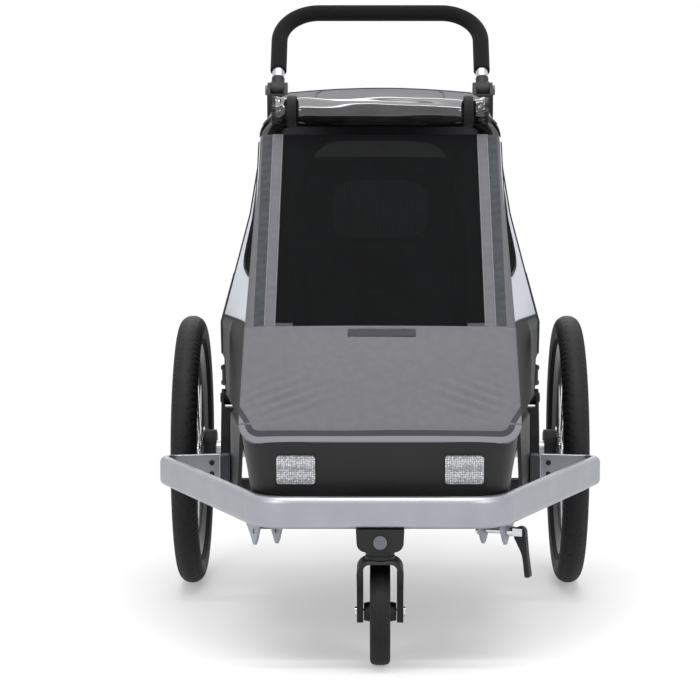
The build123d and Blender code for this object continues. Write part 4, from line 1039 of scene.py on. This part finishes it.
class TRAILER_OT_sides(bpy.types.Operator):
    """The light side panels with their piping, side windows and dark guards"""

    bl_idname = "trailer.sides"
    bl_label = "Side panels"

    def execute(self, context):
        """A ruled sheet from the hoop's leg to the rear leg that hangs in by two parabolas.

        Faces take the light cloth, the side window's mesh or the dark guard by where they
        lie; piping follows the boundaries."""
        for side, word in ((1, "left"), (-1, "right")):
            rows, columns = 120, 100
            q, p = np.meshgrid(np.linspace(0, 1, rows), np.linspace(0, 1, columns), indexing="ij")
            points = side_surface(side, p, q)
            pm, qm = p[1:, 1:] - 0.5 / columns, q[1:, 1:] - 0.5 / rows
            window = in_window(SIDE_WINDOW, pm, qm, 4)
            zone = np.where(qm < light_foot(pm), np.where(pm > 0.74, 1, 3), np.where(window, 2, 0))
            cloth = np.stack([p * 0.45, q * 0.6], -1)
            panel = surface(f"side_panel_{word}", points, zones=zone, cloth=cloth, flip=side < 0)
            thicken(panel, 0.0014)
            wear(
                panel, "light_side_polyester", "dark_guard_polyester", "insect_mesh",
                "coated_foot_polyester",
            )
            hand_over(panel, "chassis", "side_fabric", *(["side_panels"] if side > 0 else []))
            rise, run = points[1:, :-1] - points[:-1, :-1], points[:-1, 1:] - points[:-1, :-1]
            turn = np.linspace(0, 2 * math.pi, 90, endpoint=False)
            run = np.linspace(0.01, 0.99, 70)
            lines = (
                (*window_rim(SIDE_WINDOW, turn, 0.5), True),
                (run, light_foot(run), False),
                (np.full(70, 0.985), run, False),
                (np.full(70, 0.02), run, False),
            )
            piping = join(f"side_piping_{word}", [
                sweep(
                    "piping", side_surface(side, back, up, 0.0008), round_profile(0.0018, 8),
                    (0, 0.3, 1), closed=closed,
                ) for back, up, closed in lines
            ])
            wear(piping, "nylon_webbing")
            hand_over(piping, "chassis", "side_fabric")
            self.guard(side, word)
            gather((0, 0, 1), LEGS.pivot + [0, 0, 0.007], 0.04, panel, piping)
        return {"FINISHED"}

    def guard(self, side, word):
        """The cover over the rear leg: an arc of cloth round its front and outer side.

        The section is an arc about the leg's own line, stretched fore and aft by a swell
        that is largest at the knee and fades towards both ends."""
        reach = np.linspace(0.084, 0.24, 60)[:, None]
        turn = np.linspace(-0.62 * math.pi, 0.62 * math.pi, 36)[None, :]
        swell = 1 + 0.35 * np.exp(-((reach - 0.14) / 0.09) ** 2)
        middle = np.interp(reach, LEG_REACH, LEG_X)
        radius = LEG_TUBE / 2 + 0.004
        x = middle + radius * np.cos(turn - 0.35)
        offset = radius * 1.15 * swell * np.sin(turn - 0.35 + math.pi / 2 - 1.2) + 0.004
        points = LEGS.at(x, reach, offset)
        points[..., 0] *= side
        cloth = np.stack(np.broadcast_arrays(turn * radius, reach), -1)
        cover = surface(f"side_guard_{word}", points, cloth=cloth, flip=side > 0)
        thicken(cover, 0.0016, 0.0)
        wear(cover, "dark_guard_polyester")
        return hand_over(cover, "rear_frame", "side_fabric")


class TRAILER_OT_back(bpy.types.Operator):
    """The rear cover behind the seat and the luggage bag below it"""

    bl_idname = "trailer.back"
    bl_label = "Rear cover and bag"

    def execute(self, context):
        """The cover's half width runs in a straight line from foot to head; it hangs out by a
        parabola. The bag is a superellipse swept round, fuller at its foot than its rim."""
        first, last = 0.150, 0.572
        rows, columns = 90, 90
        share = np.linspace(0, 1, rows)[:, None]
        u = np.linspace(-1, 1, columns)[None, :]

        def lie(u, share, stand):
            """Where the cover lies: u across, share up, and how far it stands off the legs."""
            x = (0.279 + (0.200 - 0.279) * share) * u
            reach = first + (last - first) * share
            hang = 0.002 * (1 - u ** 2) * 4 * share * (1 - share)
            folds = 0.0008 * (1 + ripples(x, reach, 51, size=0.12)) * (1 - u ** 4)
            return x, reach, -LEG_TUBE / 2 - stand - hang - folds

        x, reach, offset = lie(u, share, 0.0022)
        points = LEGS.at(x, reach, offset)
        um, sm = (u[:, 1:] + u[:, :-1]) / 2, (share[1:] + share[:-1]) / 2
        zone = np.where(in_window(BACK_WINDOW, um, sm, 5), 1, 0)
        cloth = np.stack(np.broadcast_arrays(x, reach), -1)
        cover = surface("back_cover", points, zones=zone, cloth=cloth, flip=True)
        thicken(cover, 0.0014)
        wear(cover, "roof_polyester", "insect_mesh")
        hand_over(cover, "rear_frame", "roof_fabric", "rear_cover")
        turn = np.linspace(0, 2 * math.pi, 90, endpoint=False)
        run = np.linspace(0.01, 0.99, 60)
        curves = [(*window_rim(BACK_WINDOW, turn, 0.4), True)]
        curves += [(2 * run - 1, np.full(60, height), False) for height in (0.28, 0.012)]
        piping = join("rear_piping", [
            sweep(
                "piping",
                LEGS.at(*lie(u_line, up, 0.0040)),
                round_profile(0.0018, 8),
                LEGS.out,
                closed=closed,
            )
            for u_line, up, closed in curves
        ])
        wear(piping, "binding_tape")
        hand_over(piping, "rear_frame", "roof_fabric")
        gather(LEGS.along, LEGS.at(0.0, last, 0.0), 0.78, cover, piping)
        self.bag()
        return {"FINISHED"}

    def bag(self):
        """The luggage bag: rings of a superellipse stacked up, sagging between rim and foot."""
        corner, top = low("luggage_bag"), high("luggage_bag")
        middle = (corner + top) / 2
        half = (top - corner) / 2
        level = np.linspace(-1, 1, 64)[:, None]
        turn = np.linspace(0, 2 * math.pi, 161)[None, :]
        close = power(np.clip(1 - np.abs(level) ** 9, 0, 1), 0.5)
        sag = 1 - 0.05 * np.exp(-((level - 0.35) / 0.3) ** 2)
        x = middle[0] + (half[0] - 0.004) * power(np.cos(turn), 0.28) * close * sag
        y = middle[1] + (half[1] - 0.004) * power(np.sin(turn), 0.32) * close * sag
        y = np.minimum(y, top[1] - 0.002)
        z = middle[2] + half[2] * level * 0.985
        folds = ripples(x * 0.5, z, 61, size=0.07) + 0.7 * ripples(x, z * 0.4, 62, size=0.05)
        y = y + 0.0030 * folds * close * (np.sin(turn) > 0) * power(np.abs(np.sin(turn)), 2)
        y = np.clip(y, corner[1] + 0.0002, top[1] + 0.004)
        points = np.stack(np.broadcast_arrays(x, y, z), -1)
        cloth = np.stack(np.broadcast_arrays(turn * half[0], level * half[2]), -1)
        bag = surface("soft_bag", points, cloth=cloth)
        weld(bag.data, outward=True)
        wear(bag, "bag_polyester")
        hand_over(bag, "chassis", "seat_fabric", "luggage_bag")
        trim = join("bag_trim", [
            sweep("piping", points[row, :-1], round_profile(0.0024, 8), (0, 0, 1), closed=True)
            for row in (int(0.94 * 63), int(0.80 * 63))
        ])
        wear(trim, "nylon_webbing")
        hand_over(trim, "chassis", "seat_fabric")


# ---- seat -------------------------------------------------------------------------------

class TRAILER_OT_seat(bpy.types.Operator):
    """The seat cushion, padded back and head rest, with their sewn channels and piping"""

    bl_idname = "trailer.seat"
    bl_label = "Seat"

    def execute(self, context):
        """Each pad starts as a superquadric, swells as cloth, and has channels pressed in
        along lines whose depth falls off as a bell curve."""
        swell = context.scene.trailer_sizes.pad_swell
        corner, top = low("seat_cushion"), high("seat_cushion")
        middle, half = (corner + top) / 2, (top - corner) / 2
        inset = swell * 0.9
        cushion = tile(
            "padded_seat", (half[0] - inset, half[1] - inset), 2 * (half[2] - inset * 0.6),
            lambda a, b, c: np.stack(
                [middle[0] + a, middle[1] + b, middle[2] + c], -1,
            ), roundness=0.24,
        )
        inflate(cushion, swell)
        points = coordinates(cushion)
        above = smooth(points[:, 2], middle[2], top[2] - 0.004)
        press = sum(np.exp(-((points[:, 0] - c) / 0.0035) ** 2) for c in (-0.065, 0.065))
        press = press + np.exp(-((points[:, 1] - middle[1] - 0.02) / 0.0035) ** 2)
        points[:, 2] = np.maximum(points[:, 2] - 0.0045 * press * above, corner[2])
        points = np.clip(points, corner, top + [0, 0, 0.001])
        move_points(cushion, points)
        wear(cushion, "seat_polyester")
        hand_over(cushion, "chassis", "seat_fabric", "seat_cushion")
        press_seat(cushion)
        self.back(swell)
        self.head(swell)
        return {"FINISHED"}

    def back(self, swell):
        """The padded back on the rear frame, with four cross channels."""
        start_offset, thick = PAD_START, PAD_THICK
        foot = (
            high("seat_cushion")[2] + 0.0003 - LEGS.pivot[2] + start_offset * LEGS.along[1]
        ) / LEGS.along[2]
        first, last, half = float(foot), 0.480, 0.178
        inset = swell * 0.9
        back = tile(
            "padded_back", (half - inset, (last - first) / 2 - inset), thick - 2 * inset * 0.5,
            lambda a, b, c: LEGS.at(
                a * (1 - 0.05 * (b + 0.2)), (first + last) / 2 + b, start_offset + thick / 2 + c,
            ),
            roundness=0.24,
        )
        inflate(back, swell)
        points = coordinates(back)
        local = points - LEGS.pivot
        reach, offset = local @ LEGS.along, local @ LEGS.out
        front = smooth(offset, start_offset + thick * 0.45, start_offset + thick)
        lines = sum(np.exp(-((reach - r) / 0.0035) ** 2) for r in (0.10, 0.19, 0.28, 0.43))
        inside = 1 - smooth(np.abs(points[:, 0]), 0.13, 0.155)
        rims = np.exp(-((np.abs(points[:, 0]) - 0.14) / 0.0035) ** 2)
        press = (lines * inside + rims) * front * 0.0055
        limit = np.clip(offset - press, start_offset, start_offset + thick + 0.002)
        points = points + (limit - offset)[:, None] * LEGS.out
        move_points(back, points)
        wear(back, "seat_polyester")
        hand_over(back, "rear_frame", "seat_fabric", "seat_back")
        press_back(back)

    def head(self, swell):
        """The light pad across the upper back."""
        start_offset = PAD_START + PAD_THICK + 0.0003
        head = tile(
            "head_pad", (0.101 - swell * 0.6, 0.068 - swell * 0.6), 0.014 - 0.003,
            lambda a, b, c: LEGS.at(a, 0.355 + b, start_offset + 0.008 + c), roundness=0.5,
        )
        inflate(head, swell * 0.7, voxel=0.004)
        points = coordinates(head)
        offset = (points - LEGS.pivot) @ LEGS.out
        limit = np.clip(offset, start_offset + 0.0005, start_offset + 0.019)
        move_points(head, points + (limit - offset)[:, None] * LEGS.out)
        wear(head, "head_rest_polyester")
        hand_over(head, "rear_frame", "head_rest_fabric", "head_rest")
        press_back(head)


class TRAILER_OT_harness(bpy.types.Operator):
    """The shoulder straps with their pads, the crotch strap and the buckle"""

    bl_idname = "trailer.harness"
    bl_label = "Harness"

    def execute(self, context):
        """Each strap is a flat section carried along a smooth curve on the seat back."""
        base = PAD_START + PAD_THICK + 0.0024
        run = np.linspace(0, 1, 50)
        straps, pads = [], []
        for side in (-1, 1):
            x = side * (0.016 + 0.062 * smooth(run, 0.0, 1.0))
            reach = 0.105 + 0.175 * run
            lift = base + 0.003 * np.sin(math.pi * run)
            straps.append(
                sweep("strap", LEGS.at(x, reach, lift), flat_profile(0.024, 0.0018), ACROSS)
            )
            part = slice(14, 42)
            path = LEGS.at(x[part], reach[part], lift[part] + 0.0012)
            pads.append(sweep("strap_pad", path, flat_profile(0.040, 0.0075), ACROSS))
        cushion_top = high("seat_cushion")
        y = np.linspace(cushion_top[1] - 0.16, cushion_top[1] - 0.066, 40)
        rise = smooth(y, y[0], y[-1])
        crotch = np.stack([np.zeros(40), y, cushion_top[2] + 0.0022 + 0.034 * rise ** 2], -1)
        webbing = join("harness_straps", straps)
        wear(webbing, "nylon_webbing")
        hand_over(webbing, "rear_frame", "webbing", "harness")
        stuffed = join("shoulder_pads", pads)
        wear(stuffed, "seat_polyester")
        hand_over(stuffed, "rear_frame", "seat_fabric")
        lap = sweep("crotch_strap", crotch, flat_profile(0.030, 0.0020), ACROSS)
        wear(lap, "nylon_webbing")
        hand_over(lap, "chassis", "webbing")
        buckle = tile(
            "buckle_shell", (0.027, 0.023), 0.011,
            lambda a, b, c: LEGS.at(
                a * (1 + 6 * b), 0.092 + b, base + 0.0045 + c,
            ), rows=24, columns=48, bow=0.0015, roundness=0.45,
        )
        wear(buckle, "glass_filled_nylon")
        hand_over(buckle, "rear_frame", "moulded_black", "buckle")
        button = tile(
            "buckle_button", (0.0085, 0.0085), 0.004,
            lambda a, b, c: LEGS.at(
                a, 0.092 + b, base + 0.0112 + c,
            ), rows=16, columns=32, roundness=0.9,
        )
        wear(button, "gloss_button_plastic")
        hand_over(button, "rear_frame", "button_grey")
        press_back(webbing, stuffed, buckle, button)
        press_seat(lap)
        return {"FINISHED"}


# ---- tyres ------------------------------------------------------------------------------

class TRAILER_OT_tyres(bpy.types.Operator):
    """The tyres with their treads: fine shoulder blocks on the main wheels, rings on the caster"""

    bl_idname = "trailer.tyres"
    bl_label = "Tyres"

    def execute(self, context):
        """A round section carried about the axle, whose radius has grooves pressed in."""
        depth = context.scene.trailer_sizes.tread
        for word in ("left", "right"):
            self.main_tyre(word, depth)
        self.caster_tyre(depth)
        return {"FINISHED"}

    def ring(self, name, node, section, grooves, steps):
        """section gives (across, radius) points; grooves the depth at each point and angle."""
        corner, top = low(node), high(node)
        middle = (corner + top) / 2
        across, radius, out = section
        turn = np.linspace(0, 2 * math.pi, steps + 1)[:, None]
        press = grooves(across[None, :], turn)
        flat_across = across + out[0] * -press
        flat_radius = radius + out[1] * -press
        points = np.stack([
            middle[0] + flat_across,
            middle[1] + flat_radius * np.cos(turn),
            middle[2] + flat_radius * np.sin(turn),
        ], -1)
        cloth = np.stack(
            np.broadcast_arrays(np.linspace(0, 0.1, across.size)[None, :], turn * top[2] / 2), -1,
        )
        obj = surface(name, points, cloth=cloth)
        weld(obj.data, outward=True)
        wear(obj, "tyre_rubber")
        return obj

    def main_tyre(self, word, depth):
        """A smooth crown with thin slots, block rows on the shoulders, and plain flanks."""
        node = f"tyre_{word}"
        corner, top = low(node), high(node)
        half = (top[0] - corner[0]) / 2
        outer = (top[2] - corner[2]) / 2
        bead = 0.2062
        t = np.linspace(-0.80 * math.pi, 0.80 * math.pi, 72)
        across = half * power(np.sin(t), 0.92)
        radius = outer - half + half * np.cos(t)
        radius = np.maximum(radius, bead)
        out = (np.sin(t), np.cos(t))
        inner_t = np.linspace(0.80 * math.pi, -0.80 * math.pi, 12)[1:-1]
        across_all = np.concatenate(
            [across, 0.012 * np.sin(inner_t) / math.sin(0.8 * math.pi), across[:1]]
        )
        radius_all = np.concatenate([radius, np.full(10, bead), radius[:1]])
        out_all = tuple(np.concatenate([o, np.zeros(11)]) for o in out)
        angle_all = np.concatenate([t, np.full(11, math.pi)])

        def grooves(_, turn):
            """Slots repeat round the wheel; each row lies in its own band of the section."""
            place = np.abs(angle_all)[None, :]
            shoulder = smooth(place, 0.62, 0.70) * (1 - smooth(place, 1.28, 1.36))
            crown = smooth(place, 0.20, 0.24) * (1 - smooth(place, 0.46, 0.50))
            blocks = smooth(np.cos(120 * turn + 2.0 * place), 0.35, 0.75)
            slots = smooth(np.cos(60 * turn - 3.0 * place), 0.80, 0.95)
            ring_line = np.exp(-((place - 0.56) / 0.03) ** 2) + 0.6 * np.exp(-(place / 0.025) ** 2)
            return depth * (shoulder * blocks + 0.7 * crown * slots + 0.8 * ring_line)

        tyre = self.ring(f"tread_{word}", node, (across_all, radius_all, out_all), grooves, 960)
        hand_over(tyre, f"wheel_{word}", "tyre", node)

    def caster_tyre(self, depth):
        """A low crown with two ring grooves and fine cross ribs on its edges."""
        node = "caster_tyre"
        corner, top = low(node), high(node)
        half = (top[0] - corner[0]) / 2
        outer = (top[2] - corner[2]) / 2
        t = np.linspace(-0.5 * math.pi, 0.5 * math.pi, 61)
        across = half * power(np.sin(t), 0.62)
        crown, inner = 0.013, 0.0583
        radius = outer - crown + crown * power(np.cos(t), 0.62)
        flank = np.linspace(0, 1, 10)[1:]
        wall = outer - crown + (inner - outer + crown) * flank
        across_all = np.concatenate(
            [across, half - 0.004 * flank, -half + 0.004 * flank[::-1], across[:1]]
        )
        radius_all = np.concatenate([radius, wall, wall[::-1], radius[:1]])
        out_all = (
            np.concatenate([np.sin(t), np.zeros(19)]), np.concatenate([np.cos(t), np.zeros(19)]),
        )

        def grooves(place, turn):
            """Rings at fixed places across the crown, and ribs round the wheel near the edges."""
            rings = sum(
                np.exp(-((place - r) / 0.0007) ** 2) for r in (-0.0085, -0.003, 0.003, 0.0085)
            )
            ribs = smooth(np.abs(place), 0.0105, 0.012) * smooth(np.cos(90 * turn), 0.3, 0.8)
            return depth * (rings + 0.6 * ribs)

        tyre = self.ring("caster_tread", node, (across_all, radius_all, out_all), grooves, 720)
        hand_over(tyre, "caster_wheel", "tyre", node)


# ---- finishes of the CAD parts ----------------------------------------------------------

class TRAILER_OT_hardware(bpy.types.Operator):
    """The finishes of the frame, tub, bumper, wheels and fittings"""

    bl_idname = "trailer.hardware"
    bl_label = "Hardware finishes"

    FINISH_OF = {
        "moulded_polypropylene": ["floor_tub", "skirts"],
        "black_powder_coat": ["chassis_rails", "front_hoop", "rear_frame"],
        "drawn_aluminium": ["axle_tube", "handle_tube"],
        "glass_filled_nylon": [
            "axle_saddles", "brake_housings", "fold_brackets", "hoop_feet", "flag_socket",
            "caster_bracket", "caster_fork", "caster_rim", "handle_mounts", "handle_knuckles",
            "lock_sleeve_left", "lock_sleeve_right", "hitch_lever",
        ],
        "polished_steel": [
            "stub_axles", "hitch_skewer", "caster_axle", "hub_left", "hub_right",
            "spokes_left", "spokes_right", "brake_pin_left", "brake_pin_right",
        ],
        "blackened_steel": ["fold_pins", "bumper_screws"],
        "satin_anodised_aluminium": ["bumper"],
        "grey_nylon": ["bumper_brackets"],
        "prismatic_acrylic": ["front_reflectors"],
        "grey_coated_plate": ["hitch_receivers"],
        "ribbed_pedal_plastic": ["brake_pedal"],
        "gloss_button_plastic": [
            "caster_button", "hub_button_left", "hub_button_right",
            "handle_button_left", "handle_button_right",
        ],
        "black_anodised_rim": ["rim_left", "rim_right"],
        "closed_cell_foam": ["handle_grip"],
    }

    def execute(self, context):
        """Fills the slots of each CAD node that stays in view."""
        for name, nodes in self.FINISH_OF.items():
            for node in nodes:
                wear(frame["nodes"][node], name)
        return {"FINISHED"}


# ---- stage ------------------------------------------------------------------------------

class TRAILER_OT_stage(bpy.types.Operator):
    """The floor, the lamps and the camera"""

    bl_idname = "trailer.stage"
    bl_label = "Stage"

    def execute(self, context):
        """A wide floor that runs up behind as a quarter circle, soft lamps and one camera."""
        colour = list(context.scene.trailer_colours.floor)
        turn = np.linspace(0.05, math.pi / 2, 20)
        run = np.concatenate([np.linspace(-9, 5, 20), 5 + 3 * np.sin(turn), np.full(6, 8.0)])
        lift = np.concatenate([np.zeros(20), 3 - 3 * np.cos(turn), np.linspace(3.2, 9, 6)])
        x = np.linspace(-9, 9, 12)[:, None]
        points = np.stack(np.broadcast_arrays(x, run[None, :], lift[None, :]), -1)
        floor = surface("studio_floor", points, flip=False)
        material, _, shader = start("pale_floor", Roughness=0.75)
        shader.inputs["Base Color"].default_value = (*colour, 1)
        self.whiten(material)
        floor.data.materials.append(material)
        self.lamps(context)
        self.camera(context)
        return {"FINISHED"}

    def whiten(self, material):
        """Seen directly or in a reflection, the floor is white where no shadow falls."""
        tree = material.node_tree
        shader = tree.nodes["Principled BSDF"]
        path = add(tree, "ShaderNodeLightPath")
        seen = arithmetic(
            tree, "MAXIMUM", path.outputs["Is Camera Ray"], path.outputs["Is Glossy Ray"],
        )
        seen = arithmetic(tree, "MAXIMUM", seen, path.outputs["Is Transmission Ray"])
        place = place_of(tree)
        far = add(tree, "ShaderNodeVectorMath", {0: place}, operation="LENGTH").outputs["Value"]
        back = add(
            tree,
            "ShaderNodeMapRange",
            {"Value": far, "From Min": 0.8, "From Max": 1.9, "To Min": 0.34, "To Max": 1.0},
        )
        share = arithmetic(tree, "MULTIPLY", seen, back.outputs["Result"])
        glow = add(
            tree, "ShaderNodeEmission", {"Color": (1, 1, 1, 1), "Strength": 1.0},
        ).outputs["Emission"]
        mixed = add(
            tree, "ShaderNodeMixShader", {0: share, 1: shader.outputs["BSDF"], 2: glow},
        ).outputs["Shader"]
        tree.links.new(mixed, tree.nodes["Material Output"].inputs["Surface"])

    def lamps(self, context):
        """A broad top light, two fills at the front and a rim light behind, plus a pale world."""
        target = Vector((0, 0, 0.45))
        for name, place, size, power_w in (
            ("top_soft", (0.0, -0.4, 3.4), 3.0, 62), ("front_left", (2.6, -3.6, 2.2), 2.0, 52),
            ("front_right", (-2.6, -3.6, 2.2), 2.0, 52), ("back_soft", (0.0, 3.0, 2.6), 2.5, 34),
            ("strip", (0.0, -1.15, 2.9), 0.32, 30),
        ):
            data = bpy.data.lights.new(name, "AREA")
            data.size = size
            if name == "strip":
                data.shape, data.size, data.size_y = "RECTANGLE", 2.6, size
            data.energy = power_w
            lamp = bpy.data.objects.new(name, data)
            lamp.location = place
            lamp.rotation_euler = (target - Vector(place)).to_track_quat("-Z", "Y").to_euler()
            context.collection.objects.link(lamp)
        world = bpy.data.worlds.new("studio")
        world.use_nodes = True
        tree = world.node_tree
        sky = tree.nodes["Background"]
        sky.inputs["Color"].default_value = (1, 1, 1, 1)
        path = add(tree, "ShaderNodeLightPath")
        seen = arithmetic(
            tree, "MAXIMUM", path.outputs["Is Camera Ray"], path.outputs["Is Glossy Ray"],
        )
        level = add(
            tree, "ShaderNodeMapRange", {"Value": seen, "To Min": 0.55, "To Max": 1.0},
        ).outputs["Result"]
        tree.links.new(level, sky.inputs["Strength"])
        context.scene.world = world
        context.scene.view_settings.view_transform = "Standard"

    def camera(self, context):
        """A long lens at chest height in front of the nose."""
        data = bpy.data.cameras.new("front_view")
        data.lens = 123.7
        data.sensor_width = 36
        data.shift_x = -0.043
        data.clip_end = 60
        eye = bpy.data.objects.new("front_view", data)
        eye.location = (0, joint_place("wheel_spin_left")[1] - 4.487, 0.805)
        eye.rotation_euler = (math.radians(90 - 4.7), 0, 0)
        context.collection.objects.link(eye)
        context.scene.camera = eye


class TRAILER_PT_panel(bpy.types.Panel):
    """Lists the trailer's pieces"""

    bl_idname = "TRAILER_PT_panel"
    bl_label = "Child bicycle trailer"
    bl_space_type = "VIEW_3D"
    bl_region_type = "UI"
    bl_category = "Trailer"

    def draw(self, context):
        """One button for each operator, then the sizes and colours."""
        for operator in OPERATORS:
            self.layout.operator(operator.bl_idname)
        for group in (context.scene.trailer_sizes, context.scene.trailer_colours):
            for key in group.__annotations__:
                self.layout.prop(group, key)


OPERATORS = (
    TRAILER_OT_stage, TRAILER_OT_hardware, TRAILER_OT_tyres, TRAILER_OT_seat, TRAILER_OT_harness,
    TRAILER_OT_back, TRAILER_OT_sides, TRAILER_OT_roof, TRAILER_OT_window, TRAILER_OT_apron,
    TRAILER_OT_rain_roll,
)
CLASSES = (TrailerColours, TrailerSizes, *OPERATORS, TRAILER_PT_panel)


def register():
    """Registers the classes and hangs the settings on the scene."""
    for cls in CLASSES:
        bpy.utils.register_class(cls)
    bpy.types.Scene.trailer_colours = bpy.props.PointerProperty(type=TrailerColours)
    bpy.types.Scene.trailer_sizes = bpy.props.PointerProperty(type=TrailerSizes)


def unregister():
    """Takes the settings and classes away again."""
    del bpy.types.Scene.trailer_sizes
    del bpy.types.Scene.trailer_colours
    for cls in reversed(CLASSES):
        bpy.utils.unregister_class(cls)


def main():
    """Builds every piece."""
    register()
    for operator in OPERATORS:
        group, call = operator.bl_idname.split(".")
        getattr(getattr(bpy.ops, group), call)()
    bpy.context.view_layer.update()


if __name__ == "__main__":
    main()
